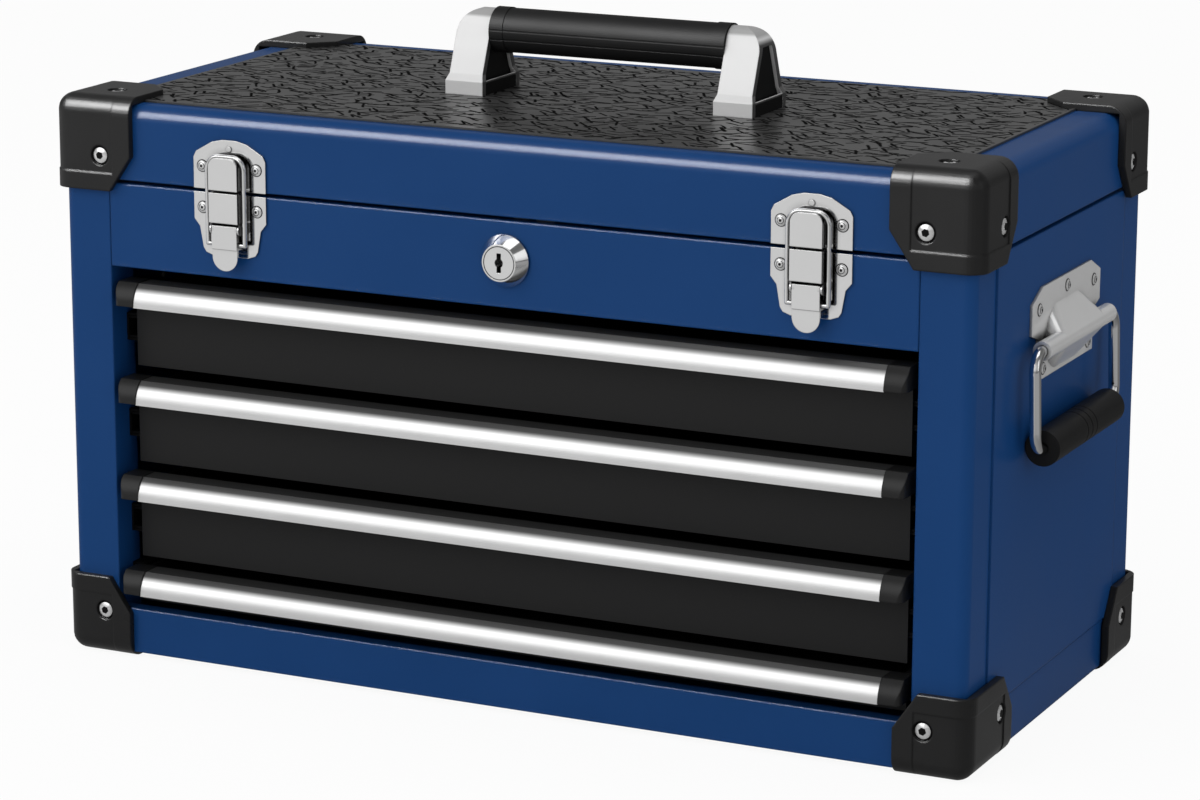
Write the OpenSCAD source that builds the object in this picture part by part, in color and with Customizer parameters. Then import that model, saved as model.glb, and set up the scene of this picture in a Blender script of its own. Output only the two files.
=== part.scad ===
// Portable steel tool box: a lidded top compartment over four shallow drawers.
// Millimetres, +Z up, front towards -Y. The floor is z = 0, and the origin is the middle of the
// space that the whole box takes up on it.

/* [Cabinet] */
// Width of the painted steel box
cabinet_w = 520; // [440:1:700]
// Depth of the painted steel box, front to back
cabinet_d = 253; // [230:1:360]
// Height of the cabinet from its bottom edge to the parting line
cabinet_h = 259.5; // [256:0.5:330]
// Thickness of the folded sheet
sheet = 1; // [0.8:0.1:1.4]
// Bend radius of the corner posts
post_bend_r = 6; // [4:0.5:9]
// Width of a corner post on the front and the back
post_face_w = 29; // [24:0.5:40]
// Width of a corner post on the side
post_side_w = 29.5; // [26:0.5:40]
// Depth of the flange that a post turns inwards beside the drawers
post_return_d = 22; // [18:0.5:26]
// How far the side panels stand proud of the posts
panel_proud = 0.8; // [0.4:0.1:1.2]
// Visible seam between two sheets
seam = 0.4; // [0.2:0.1:0.8]
// Height of the rail under the drawers
rail_h = 24.6; // [20:0.2:26]
// Height of the base band on the sides and the back
band_h = 25.9; // [20:0.2:40]
// Height of the panel that carries the lock
lock_panel_h = 45; // [42:0.5:60]
// Depth of the stiffening flanges along the sheet edges
flange_d = 9; // [6:0.5:11]

/* [Lid] */
// Height of the lid from its rim to its top
lid_h = 40.3; // [38:0.1:70]
// Gap between the cabinet and the lid's rim
parting_gap = 2.2; // [1.5:0.1:3]
// Radius of the lid's upper edges
lid_edge_r = 9; // [5:0.5:12]
// Thickness of the lid's mat
mat_t = 1.2; // [1:0.1:4]
// Painted border between the mat and the lid's front edge
mat_border_front = 12.5; // [10:0.5:30]
// Painted border between the mat and the lid's back edge
mat_border_rear = 21; // [10:0.5:30]
// Painted border between the mat and the lid's ends
mat_border_x = 24; // [14:0.5:40]

/* [Drawers] */
// Height of the bottom drawer's front
bottom_front_h = 19.5; // [18:0.1:30]
// Gap between the lock panel and the first drawer
drawer_top_gap = 8.5; // [4:0.1:10]
// How far the drawer fronts lie behind the posts
front_recess = 12.5; // [11.5:0.1:16]
// Gap between a drawer front and the post beside it
front_side_gap = 7.5; // [6:0.1:9]
// Gap between a drawer front and the pull below it
front_gap = 5.4; // [4:0.1:8]
// Gap between a drawer's back and the cabinet's rear face
drawer_back_gap = 18.5; // [14:0.5:60]
// Height of a drawer's side walls below its front's upper edge
wall_drop = 7; // [4:0.5:12]
// How far a drawer pulls out
drawer_travel = 160; // [100:1:170]
// Gap between the bottom drawer and the rail in front of it
rail_gap = 1.8; // [1:0.1:3]

/* [Drawer slides] */
// Thickness of a pair of slide members
slide_t = 9.5; // [8:0.1:12]
// Height of a slide
slide_h = 15; // [12:0.5:15]
// Thickness of the slide's steel
slide_sheet = 1.2; // [0.8:0.1:1.4]
// Play between the two members
slide_play = 0.35; // [0.2:0.05:0.5]

/* [Drawer pulls] */
// Height of a pull
pull_h = 12.4; // [11:0.1:15]
// How far a pull stands in front of the posts
pull_reach = 5; // [3:0.1:7]
// How far the pull's upper edge lies behind the posts
pull_setback = 1; // [0:0.1:3]
// Gap between a pull's end cap and the post beside it
pull_end_gap = 4.2; // [2:0.1:12]
// Length of a pull's end cap
cap_l = 12; // [8:0.5:18]
// Thickness of the metal strip
strip_t = 1.2; // [0.8:0.1:2]
// Thickness of the channel behind the strip
channel_t = 1.4; // [1:0.1:2.5]
// How far the end caps stand proud of the strip
cap_proud = 0.4; // [0.2:0.1:1]
// Radius of the end caps' outer corners
cap_corner_r = 3.5; // [1:0.1:5]

/* [Corner guards] */
// Thickness of a corner guard
guard_t = 4; // [3:0.1:5]
// Radius of a guard's outer edges
guard_r = 10; // [6:0.5:12]
// Reach of a top guard along the front and the sides
top_guard_l = 44.4; // [36:0.2:60]
// How far a top guard's skirt hangs below the lid's rim
skirt_drop = 6.2; // [3:0.1:8]
// Reach of a bottom guard along the front and the back
bottom_guard_x = 37.6; // [32:0.2:50]
// Reach of a front bottom guard along the side
bottom_guard_front_y = 56; // [40:0.5:70]
// Reach of a rear bottom guard along the side
bottom_guard_rear_y = 45; // [36:0.5:60]
// Height of a bottom guard above the cabinet's bottom edge
bottom_guard_h = 41.3; // [34:0.2:50]
// How far the bottom guards reach below the cabinet
foot_drop = 3; // [2:0.1:6]
// Width of the cut-off corner of a guard's face
guard_cut_w = 13; // [8:0.5:16]
// Height of the cut-off corner of a guard's face
guard_cut_h = 19; // [10:0.5:20]
// How far the raised border along a guard's free edges stands proud
border_proud = 0.5; // [0.3:0.1:0.8]
// Width of that border along a guard's upright edge
border_w = 11; // [6:0.5:14]
// Width of that border along a guard's level edge
border_h = 9.5; // [6:0.5:14]
// Radius of a guard screw's head
screw_head_r = 4.2; // [3:0.1:5]
// Radius of the recess round a guard screw's head
screw_recess_r = 5.4; // [5.3:0.1:6.5]
// Depth of that recess
screw_recess_d = 1.9; // [1:0.1:2]
// Radius of a guard screw's shank
screw_r = 2; // [1.5:0.1:2.2]

/* [Hardware places] */
// How far right of the middle the carry handle sits
handle_x = 7; // [-20:0.5:20]
// How far right of the middle the lock sits
lock_x = 5.5; // [-20:0.5:20]
// How far right of the middle the pair of latches sits
latch_x = 9; // [-20:0.5:20]
// How much less than half the cabinet's width each latch stands from the pair's middle
latch_inset = 95; // [80:1:140]
// Height of the lock above the lock panel's lower edge
lock_rise = 24.5; // [22:0.5:25]

/* [Latches] */
// Thickness of a latch plate
latch_sheet = 1.2; // [1:0.1:1.6]
// Width of a latch plate
latch_w = 43.4; // [40:0.2:50]
// Width of the latch's cover and of the housing below it
cover_w = 17.2; // [16.5:0.1:17.8]
// Width of the latch's lever
lever_w = 15; // [14.5:0.1:15.4]
// How far the latch stands in front of the cabinet
latch_proud = 8.5; // [8.3:0.1:9.5]
// Radius of the bail's wire
wire_r = 1.25; // [1:0.05:1.3]
// Distance between the bail's two legs
bail_w = 22; // [21.8:0.1:24]
// Distance from the lever's pivot to the bail's pivot
lever_throw = 8; // [7.5:0.1:9]

/* [Lock] */
// Radius of the lock's bezel at the panel
bezel_r = 13.75; // [12.5:0.05:15]
// Radius of the bezel's front face
bezel_face_r = 9.6; // [9.4:0.1:11]
// How far the lock stands in front of the panel
bezel_h = 8; // [5:0.1:8]
// Radius of the turning plug
plug_r = 8.6; // [7.5:0.1:8.8]
// Radius of the lock's barrel behind the panel
barrel_r = 10.3; // [9.8:0.1:10.4]
// Length of the cam from the plug's axis
cam_l = 22; // [20:0.5:23]

/* [Carry handle] */
// Distance between the middles of the two posts
handle_span = 157; // [110:0.5:240]
// Width of a post's foot
handle_post_w = 22.3; // [18:0.1:30]
// Depth of a post's foot
handle_foot_d = 44; // [36:0.5:60]
// Height of a post's foot
handle_foot_h = 7.5; // [6:0.5:14]
// Height of a post
handle_h = 44.7; // [43:0.1:60]
// Radius of the grip
grip_r = 12.4; // [10:0.1:13]
// How far the handle sits in front of the lid's middle
handle_front = 2; // [-10:0.5:10]

/* [Side handles] */
// Radius of a side handle's rod
rod_r = 3; // [2.5:0.1:3.5]
// Distance between the rod's two legs
side_span = 122; // [100:1:150]
// Length of the legs, from the barrel's axis to the grip's axis
side_drop = 50; // [40:0.5:70]
// Radius of a side handle's grip
side_grip_r = 9.3; // [8:0.1:11]
// Distance from the barrel's axis to the side panel
barrel_off = 8; // [7:0.1:10]
// Distance from the cabinet's upper edge down to the barrel's axis
barrel_drop = 56.5; // [55:0.5:110]
// How far the side handles' plates sit behind the middle
side_back = 3; // [-20:0.5:20]
// How far the barrel and the bail sit in front of the plate's middle
bail_front = 4; // [0:0.5:6]
// Width of a side handle's plate
bracket_w = 104; // [96:1:130]
// Thickness of a side handle's plate
bracket_t = 1.5; // [1:0.1:2]

/* [Hinge] */
// Outer radius of the hinge's knuckles
knuckle_r = 3; // [2.6:0.1:4]
// Radius of the hinge pin
pin_r = 1.25; // [1:0.05:1.5]
// Distance from each end of the hinge to the guard beside it
hinge_end_gap = 10.6; // [5:0.1:80]
// Height of a hinge leaf
leaf_h = 19; // [14:0.5:30]
// Thickness of a hinge leaf
leaf_t = 1.2; // [0.8:0.1:1.5]

/* [Hidden] */

$fn = 48;
// Facets round a full turn of the softly rounded shells
shell_fn = 32;
// How far a cut runs past the surface that it opens
overrun = 1;
// Small gap between pieces that seat on each other
seat_gap = 0.3;
// Play of a pin in its hole
pin_play = 0.05;
// Number of drawers, which the node names follow
drawer_count = 4;

paint = "#163a78";
dark = "#232425";
rubber = "#1b1b1c";
steel = "#c9cacc";
chrome = "#dfe0e2";
alloy = "#d9dadc";
black_paint = "#26272a";

// Overall places, worked out from the sizes above
half_w = cabinet_w / 2;
front_reach = max(latch_proud, bezel_h);
rear_reach = max(guard_t, 2 * knuckle_r + seat_gap);
front_y = -(cabinet_d + front_reach + rear_reach) / 2 + front_reach;
rear_y = front_y + cabinet_d;
mid_y = (front_y + rear_y) / 2;
base_z = foot_drop;
top_z = base_z + cabinet_h;
rim_z = top_z + parting_gap;
lid_top = rim_z + lid_h;
post_x = half_w - panel_proud;
open_x = half_w - post_face_w;
open_z = top_z - lock_panel_h;
latch_spacing = half_w - latch_inset;
side_y0 = front_y + post_side_w;
side_y1 = rear_y - post_side_w;
hinge_y = rear_y + knuckle_r + seat_gap;
hinge_z = top_z + parting_gap / 2;
overlap_flange = 10;

module block(lo, hi) {
    translate(lo) cube([hi.x - lo.x, hi.y - lo.y, hi.z - lo.z]);
}

module both_sides() {
    children();
    mirror([1, 0, 0]) children();
}

// A cylinder along X from x0 to x1, at a place in the YZ plane
module bar_x(x0, x1, y, z, r) {
    translate([x0, y, z]) rotate([0, 90, 0]) cylinder(h = x1 - x0, r = r);
}

// A cylinder along Y from y0 to y1, at a place in the XZ plane
module bar_y(y0, y1, x, z, r) {
    translate([x, y0, z]) rotate([-90, 0, 0]) cylinder(h = y1 - y0, r = r);
}

// A flat outline in X and Z, given thickness along Y from y0 to y1
module slab_y(y0, y1) {
    translate([0, y1, 0]) rotate([90, 0, 0]) linear_extrude(y1 - y0) children();
}

// A flat outline in Y and Z, given thickness along X from x0 to x1
module slab_x(x0, x1) {
    translate([x0, 0, 0]) rotate([90, 0, 90]) linear_extrude(x1 - x0) children();
}

// Cabinet posts

// The area inside a post's outer faces, drawn in by inset, as far as the sizes w and l
module post_area(inset, w, l) {
    r = post_bend_r - inset;
    translate([inset + r, inset + r]) circle(r);
    translate([inset + r, inset]) square([w - inset - r, l - inset]);
    translate([inset, inset + r]) square([w - inset, l - inset - r]);
}

// A corner post seen from above: outer corner at the origin, faces along +X and +Y
module post_section() {
    w = post_face_w - panel_proud;
    difference() {
        post_area(0, w, post_side_w);
        difference() {
            post_area(sheet, w + overrun, post_side_w + overrun);
            translate([w - sheet, 0]) square([sheet, post_return_d]);
        }
        translate([w, 0]) square([overrun, post_side_w]);
        translate([sheet, post_return_d]) square([w, post_side_w]);
    }
}

module post_pair(y, turned) {
    color(paint)
        difference() {
            both_sides()
                translate([-post_x, y, base_z + sheet]) mirror([0, turned, 0])
                    linear_extrude(cabinet_h - sheet) post_section();
            bottom_screw_holes();
        }
}

module front_posts() {
    post_pair(front_y, 0);
}

module rear_posts() {
    post_pair(rear_y, 1);
}

// Cabinet panels

// A panel that fills the space between two posts, with side flanges against the posts
module between_posts(y_face, z0, z1, inward) {
    y_in = y_face + inward * sheet;
    y_back = y_in + inward * overlap_flange;
    block([-open_x + seam, min(y_face, y_in), z0], [open_x - seam, max(y_face, y_in), z1]);
    both_sides()
        block([open_x - sheet, min(y_in, y_back), z0], [open_x, max(y_in, y_back), z1]);
}

module base_pan() {
    color(paint) difference() {
        base_form();
        bottom_screw_holes();
    }
}

module base_form() {
    translate([0, 0, base_z]) linear_extrude(sheet)
        both_sides()
            translate([-post_x, front_y]) {
                translate([post_bend_r, post_bend_r]) circle(post_bend_r);
                translate([post_bend_r, cabinet_d - post_bend_r]) circle(post_bend_r);
                translate([post_bend_r, 0]) square([post_x - post_bend_r, cabinet_d]);
                translate([0, post_bend_r]) square([post_x, cabinet_d - 2 * post_bend_r]);
            }
    between_posts(front_y, base_z, base_z + rail_h, 1);
    block([-open_x + sheet, front_y, base_z + rail_h - sheet],
        [open_x - sheet, front_y + flange_d, base_z + rail_h]);
    between_posts(rear_y, base_z, base_z + band_h, -1);
    both_sides()
        block([post_x - sheet, side_y0 + seam, base_z],
            [post_x, side_y1 - seam, base_z + band_h]);
}

module side_panel_left() {
    mirror([1, 0, 0]) side_panel_right();
}

module side_panel_right() {
    z0 = base_z + band_h + seam;
    y0 = side_y0 + seam;
    y1 = side_y1 - seam;
    back_x = post_x - 2 * sheet;
    color(paint) difference() {
        union() {
            block([half_w - sheet, y0, z0], [half_w, y1, top_z]);
            block([back_x, y0, z0], [half_w - sheet, y0 + sheet, top_z]);
            block([back_x, y1 - sheet, z0], [half_w - sheet, y1, top_z]);
            block([back_x, y0 - overlap_flange, z0], [back_x + sheet, y0 + sheet, top_z]);
            block([back_x, y1 - sheet, z0], [back_x + sheet, y1 + overlap_flange, top_z]);
            block([back_x, y0, z0 - overlap_flange], [back_x + sheet, y1, z0 + sheet]);
            block([back_x, y0, z0], [half_w - sheet, y1, z0 + sheet]);
            block([half_w - sheet - flange_d, y0, top_z - sheet], [half_w - sheet, y1, top_z]);
        }
        bracket_rivet_places() bar_x(0, 2 * half_w, 0, 0, rivet_r + pin_play);
        bottom_screw_holes();
    }
}

module back_panel() {
    color(paint) difference() {
        union() {
            between_posts(rear_y, base_z + band_h + seam, top_z, -1);
            block([-open_x + sheet, rear_y - flange_d, top_z - sheet],
                [open_x - sheet, rear_y, top_z]);
        }
        cabinet_leaf_rivet_places() bar_y(-half_w, half_w, 0, 0, rivet_r + pin_play);
    }
}

module lock_panel() {
    color(paint) difference() {
        union() {
            between_posts(front_y, open_z, top_z, 1);
            block([-open_x + sheet, front_y, open_z],
                [open_x - sheet, front_y + overlap_flange, open_z + sheet]);
            block([-open_x + sheet, front_y, top_z - sheet],
                [open_x - sheet, front_y + flange_d, top_z]);
        }
        bar_y(front_y - overrun, front_y + sheet + overrun, lock_x, lock_z,
            barrel_r + pin_play);
        latch_places() base_rivet_places()
            bar_y(front_y - half_w, front_y + half_w, 0, 0, rivet_r + pin_play);
    }
}

// The tray's upstand against the panels round it
tray_wall_h = 10;

module top_tray() {
    z0 = open_z + sheet;
    wide = open_x - sheet - seat_gap;
    deep0 = front_y + sheet + seat_gap;
    deep1 = rear_y - sheet - seat_gap;
    ends = post_x - 2 * sheet - seat_gap;
    end_y0 = side_y0 + sheet + 2 * seam;
    end_y1 = side_y1 - sheet - 2 * seam;
    color(paint) {
        block([-wide, deep0, z0], [wide, deep1, z0 + sheet]);
        block([-ends, end_y0, z0], [ends, end_y1, z0 + sheet]);
        block([-wide, deep0, z0], [wide, deep0 + sheet, z0 + tray_wall_h]);
        block([-wide, deep1 - sheet, z0], [wide, deep1, z0 + tray_wall_h]);
        both_sides() {
            block([ends - sheet, end_y0, z0], [ends, end_y1, z0 + tray_wall_h]);
            block([wide - sheet, deep0, z0], [wide, end_y0 + sheet, z0 + tray_wall_h]);
            block([wide - sheet, end_y1 - sheet, z0], [wide, deep1, z0 + tray_wall_h]);
            block([wide - sheet, end_y0, z0], [ends, end_y0 + sheet, z0 + tray_wall_h]);
            block([wide - sheet, end_y1 - sheet, z0], [ends, end_y1, z0 + tray_wall_h]);
        }
    }
}

// Drawers and their slides

front_x = open_x - front_side_gap;
box_x = open_x - slide_t;
front_face_y = front_y + front_recess;
drawer_back_y = rear_y - drawer_back_gap;
// Distance from one drawer to the next
drawer_pitch = (open_z - drawer_top_gap - base_z - rail_h - rail_gap - bottom_front_h)
    / (drawer_count - 1);
slide_y0 = front_face_y + sheet + 2 * seat_gap;
slide_y1 = drawer_back_y;

function drawer_top(k) = open_z - drawer_top_gap - (k - 1) * drawer_pitch;
function drawer_floor(k) = max(drawer_top(k) - drawer_pitch + front_gap,
    base_z + rail_h + rail_gap);
function wall_top(k) = drawer_top(k) - (k < drawer_count ? wall_drop : sheet);
// The bottom drawer's slides sit at its top, clear of the corner guards
function slide_z(k) = k < drawer_count ? (drawer_floor(k) + wall_top(k)) / 2
    : wall_top(k) - slide_h / 2 + slide_sheet + slide_play;

module cabinet_slides() {
    flange = slide_t - slide_sheet - seat_gap;
    color(steel)
        both_sides()
            for (k = [1 : drawer_count])
                translate([0, 0, slide_z(k) - slide_h / 2]) {
                    block([open_x - slide_sheet, slide_y0, 0],
                        [open_x, slide_y1, slide_h]);
                    block([open_x - flange, slide_y0, 0],
                        [open_x - slide_sheet, slide_y1, slide_sheet]);
                    block([open_x - flange, slide_y0, slide_h - slide_sheet],
                        [open_x - slide_sheet, slide_y1, slide_h]);
                }
}

module drawer_slides(k) {
    inner_h = slide_h - 2 * slide_sheet - 2 * slide_play;
    web_x = box_x + slide_sheet;
    tip_x = open_x - slide_sheet - slide_play;
    color(steel)
        both_sides()
            translate([0, 0, slide_z(k) - inner_h / 2]) {
                block([box_x, slide_y0, 0], [web_x, slide_y1, inner_h]);
                block([web_x, slide_y0, 0], [tip_x, slide_y1, slide_sheet]);
                block([web_x, slide_y0, inner_h - slide_sheet], [tip_x, slide_y1, inner_h]);
            }
}

module drawer_pan(k) {
    z0 = drawer_floor(k);
    z1 = wall_top(k);
    color(black_paint) {
        block([-front_x, front_face_y, z0], [front_x, front_face_y + sheet, drawer_top(k)]);
        block([-box_x, front_face_y, z0], [box_x, drawer_back_y, z0 + sheet]);
        block([-box_x, drawer_back_y - sheet, z0], [box_x, drawer_back_y, z1]);
        both_sides() block([box_x - sheet, front_face_y, z0], [box_x, drawer_back_y, z1]);
    }
}

pull_half_l = open_x - pull_end_gap - cap_l;
// The pull's face is an arc that is upright at its lower edge
pull_fall = pull_reach + pull_setback;
pull_arc_r = (pull_h * pull_h + pull_fall * pull_fall) / (2 * pull_fall);

// The part of a pull inside an arc of radius r and under a height, back to the drawer front
module pull_body(k, r, top, x0, x1) {
    z0 = drawer_top(k) - pull_h;
    intersection() {
        bar_x(x0, x1, front_y - pull_reach + pull_arc_r, z0, r);
        block([x0, front_y - pull_reach - overrun, z0], [x1, front_face_y, top]);
    }
}

// The strip makes the front face and the top of the pull
module pull_strip(k) {
    z1 = drawer_top(k);
    color(alloy)
        difference() {
            pull_body(k, pull_arc_r, z1, -pull_half_l, pull_half_l);
            intersection() {
                bar_x(-half_w, half_w, front_y - pull_reach + pull_arc_r, z1 - pull_h,
                    pull_arc_r - strip_t);
                block([-half_w, front_y - pull_reach, z1 - 2 * pull_h],
                    [half_w, rear_y, z1 - strip_t]);
            }
        }
}

module pull_channel(k) {
    z1 = drawer_top(k) - strip_t - seat_gap / 2;
    z0 = drawer_top(k) - pull_h;
    outer_r = pull_arc_r - strip_t - seat_gap / 2;
    color(dark)
        difference() {
            pull_body(k, outer_r, z1, -pull_half_l, pull_half_l);
            intersection() {
                bar_x(-half_w, half_w, front_y - pull_reach + pull_arc_r, z0,
                    outer_r - channel_t);
                block([-half_w, front_y - pull_reach, z0 - pull_h],
                    [half_w, rear_y, z1 - channel_t]);
            }
        }
}

module pull_caps(k) {
    z1 = drawer_top(k);
    x0 = pull_half_l;
    x1 = x0 + cap_l;
    y0 = front_y - pull_reach - cap_proud;
    color(dark)
        both_sides() {
            difference() {
                translate([0, 0, cap_proud])
                    pull_body(k, pull_arc_r + cap_proud, z1, x0, x1);
                block([x0 + channel_t, front_face_y - front_recess / 2, z1 - pull_h - overrun],
                    [x1 - channel_t, rear_y, z1 - channel_t]);
                // The outer front corner is rounded
                translate([x1 - cap_corner_r, y0, z1 - 2 * pull_h])
                    difference() {
                        cube([cap_corner_r + overrun, cap_corner_r, 3 * pull_h]);
                        translate([0, cap_corner_r, 0])
                            cylinder(h = 3 * pull_h, r = cap_corner_r);
                    }
            }
        }
}

// Corner guards

// The rounded outer form of a guard, drawn in by inset on its side faces
module guard_form(inset, lx, ly, lz, end_t) {
    r = guard_r - inset;
    o = inset - guard_t;
    c = guard_r - guard_t;
    level = r - end_t;
    hull() {
        translate([c, c, level]) sphere(r, $fn = shell_fn);
        translate([lx - overrun, c, level]) rotate([0, 90, 0])
            cylinder(h = overrun, r = r, $fn = shell_fn);
        translate([c, ly - overrun, level]) rotate([-90, 0, 0])
            cylinder(h = overrun, r = r, $fn = shell_fn);
        translate([c, c, lz - overrun]) cylinder(h = overrun, r = r, $fn = shell_fn);
        block([lx - overrun, ly - overrun, -end_t], [lx, ly, lz]);
        block([lx - overrun, o, lz - overrun], [lx, ly, lz]);
        block([o, ly - overrun, lz - overrun], [lx, ly, lz]);
    }
}

// One guard, with the steel corner at the origin and its faces along +X, +Y and +Z
module guard_shell(lx, ly, lz, end_t) {
    o = -guard_t;
    difference() {
        union() {
            guard_form(border_proud, lx, ly, lz, end_t);
            // The raised border runs along the free edges
            intersection() {
                guard_form(0, lx, ly, lz, end_t);
                union() {
                    block([lx - border_w, o, -end_t], [lx, ly, lz]);
                    block([o, ly - border_w, -end_t], [lx, ly, lz]);
                    block([o, o, lz - border_h], [lx, ly, lz]);
                }
            }
        }
        block([0, 0, 0], [lx + overrun, ly + overrun, lz + overrun]);
        slab_y(o - overrun, 0) cut_corner(lx, lz, guard_cut_w, guard_cut_h);
        slab_x(o - overrun, 0) cut_corner(ly, lz, guard_cut_w, guard_cut_h);
        translate([0, 0, -end_t - overrun]) linear_extrude(end_t + overrun)
            cut_corner(lx, ly, guard_cut_w, guard_cut_w);
    }
}

// The triangle that takes a corner off a guard's face
module cut_corner(a, b, w, h) {
    polygon([[a - w, b + overrun], [a - w, b], [a, b - h], [a + overrun, b - h],
        [a + overrun, b + overrun]]);
}

// Screw places on a guard's faces, measured from the steel corner
top_screw_x = 25.7;
top_screw_y = 28.6;
top_screw_z = 27.6;
end_screw_x = 23;
end_screw_y = 20;
bottom_screw_x = 21.5;
bottom_screw_z = 22.5;
// Distance of a bottom guard's side screw from its end, in front and behind
bottom_screw_front = 14.8;
bottom_screw_rear = 23.4;
// Height of a guard screw's head, and the radius of the socket in it
screw_head_h = 1.8;
socket_r = 1.5;

// Runs its children, which point along -Y at the origin, at a guard's front and side screws
module face_screws(x, y, z) {
    translate([x, 0, z]) children();
    translate([0, y, z]) rotate([0, 0, -90]) mirror([1, 0, 0]) children();
}

// Runs its children at all the screws of one of the lid's corners
module lid_corner_screws() {
    face_screws(top_screw_x, top_screw_y, top_screw_z) children();
    translate([end_screw_x, end_screw_y, 0]) rotate([90, 0, 0]) children();
}

module base_corner_screws(rear) {
    y = rear ? bottom_guard_rear_y - bottom_screw_rear : bottom_guard_front_y
        - bottom_screw_front;
    face_screws(bottom_screw_x, y, bottom_screw_z) children();
}

module bottom_screw_holes() {
    for (sx = [-1, 1], sy = [-1, 1]) at_base_corner(sx, sy) base_corner_screws(sy > 0) screw_hole();
}

module screw_hole() {
    bar_y(-guard_t - overrun, 2 * screw_r + overrun, 0, 0, screw_r + pin_play);
    bar_y(-guard_t - overrun, -guard_t + screw_recess_d, 0, 0, screw_recess_r);
}

module screw_body() {
    head_h = screw_head_h;
    face = -guard_t + screw_recess_d;
    difference() {
        union() {
            bar_y(face, 2 * screw_r, 0, 0, screw_r);
            intersection() {
                bar_y(face - head_h, face, 0, 0, screw_head_r);
                translate([0, face - head_h + 2 * screw_head_r, 0]) sphere(2 * screw_head_r);
            }
        }
        bar_y(face - head_h - overrun, face - head_h / 2, 0, 0, socket_r, $fn = 6);
    }
}

// Places a guard at a corner of the lid: sx and sy are the corner's signs
module at_lid_corner(sx, sy) {
    translate([sx * half_w, sy > 0 ? rear_y : front_y, lid_top])
        mirror([sx > 0 ? 1 : 0, 0, 0]) mirror([0, sy > 0 ? 1 : 0, 0]) mirror([0, 0, 1])
            children();
}

module at_base_corner(sx, sy) {
    translate([sx * half_w, sy > 0 ? rear_y : front_y, base_z])
        mirror([sx > 0 ? 1 : 0, 0, 0]) mirror([0, sy > 0 ? 1 : 0, 0]) children();
}

module top_guard(rear) {
    lz = lid_h + skirt_drop;
    difference() {
        guard_shell(top_guard_l, top_guard_l, lz, guard_t);
        // The skirt stands off the cabinet, and a rear guard has none behind
        block([-seat_gap - panel_proud / 2, -seat_gap - panel_proud / 2, lid_h],
            [top_guard_l + overrun, top_guard_l + overrun, lz + overrun]);
        if (rear)
            block([-seat_gap, -guard_t - overrun, lid_h - seat_gap],
                [top_guard_l + overrun, overrun, lz + overrun]);
        lid_corner_screws() screw_hole();
    }
}

module bottom_guard(ly, rear) {
    difference() {
        guard_shell(bottom_guard_x, ly, bottom_guard_h, foot_drop);
        base_corner_screws(rear) screw_hole();
    }
}

module top_guards_front() {
    color(dark) for (sx = [-1, 1]) at_lid_corner(sx, -1) top_guard(false);
}

module top_guards_rear() {
    color(dark) for (sx = [-1, 1]) at_lid_corner(sx, 1) top_guard(true);
}

module bottom_guards_front() {
    color(dark) for (sx = [-1, 1]) at_base_corner(sx, -1)
        bottom_guard(bottom_guard_front_y, false);
}

module bottom_guards_rear() {
    color(dark) for (sx = [-1, 1]) at_base_corner(sx, 1)
        bottom_guard(bottom_guard_rear_y, true);
}

// Lid

// A box with rounded upper edges and corners, drawn in by inset
module lid_form(inset, z0) {
    r = lid_edge_r - inset;
    top = lid_top - inset;
    hull() {
        both_sides()
            for (y = [front_y + inset + r, rear_y - inset - r])
                translate([half_w - inset - r, y, 0]) {
                    translate([0, 0, top - r]) sphere(r, $fn = shell_fn);
                    translate([0, 0, z0]) cylinder(h = top - r - z0, r = r, $fn = shell_fn);
                }
        block([-half_w + lid_edge_r, front_y + lid_edge_r, top - sheet],
            [half_w - lid_edge_r, rear_y - lid_edge_r, top]);
    }
}

module lid_shell() {
    color(paint) {
        difference() {
            lid_form(0, rim_z);
            lid_form(sheet, rim_z - overrun);
            for (sx = [-1, 1], sy = [-1, 1])
                at_lid_corner(sx, sy) lid_corner_screws() screw_hole();
            latch_places() keeper_rivet_places()
                bar_y(front_y - overrun, front_y + sheet + overrun, 0, 0, rivet_r + pin_play);
            lid_leaf_rivet_places()
                bar_y(rear_y - sheet - overrun, rear_y + overrun, 0, 0, rivet_r + pin_play);
            handle_screw_places()
                cylinder(h = 2 * (sheet + overrun), r = screw_r + pin_play, center = true);
        }
        rim_flange();
    }
}

// The rim turned inwards along the lid's lower edge
module rim_flange() {
    r = lid_edge_r - sheet / 2;
    translate([0, 0, rim_z]) linear_extrude(sheet)
        difference() {
            hull()
                both_sides()
                    for (y = [front_y + lid_edge_r, rear_y - lid_edge_r])
                        translate([half_w - lid_edge_r, y]) circle(r, $fn = shell_fn);
            translate([-half_w + flange_d, front_y + flange_d])
                square([cabinet_w - 2 * flange_d, cabinet_d - 2 * flange_d]);
        }
}

module lid_mat() {
    mat_x = half_w - mat_border_x;
    mat_y0 = front_y + mat_border_front;
    mat_y1 = rear_y - mat_border_rear;
    color(rubber)
        difference() {
            block([-mat_x, mat_y0, lid_top], [mat_x, mat_y1, lid_top + mat_t]);
            for (sx = [-1, 1], sy = [-1, 1])
                at_lid_corner(sx, sy)
                    translate([0, 0, -mat_t - overrun]) linear_extrude(mat_t + 2 * overrun)
                        offset(delta = seat_gap) difference() {
                            square([top_guard_l, top_guard_l]);
                            cut_corner(top_guard_l, top_guard_l, guard_cut_w, guard_cut_w);
                        }
            handle_screw_places()
                cylinder(h = 2 * (mat_t + overrun), r = screw_r + pin_play, center = true);
        }
}

// Carry handle

handle_y = mid_y - handle_front;
handle_z = lid_top + mat_t;
// Step between a post's foot and its upper part, and the height of the bend between them
foot_step = 2.5;
bend_rise = 3.5;
// Thickness of the metal strap that makes a post
strap_t = 4;
// Radius of a post's rounded top, seen from the end
post_top_r = 9;
// Radius of a post's outer shoulder, seen from the front
shoulder_r = 13;
// How deep the black insert lies inside the strap's window
window_d = 1.8;
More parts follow.
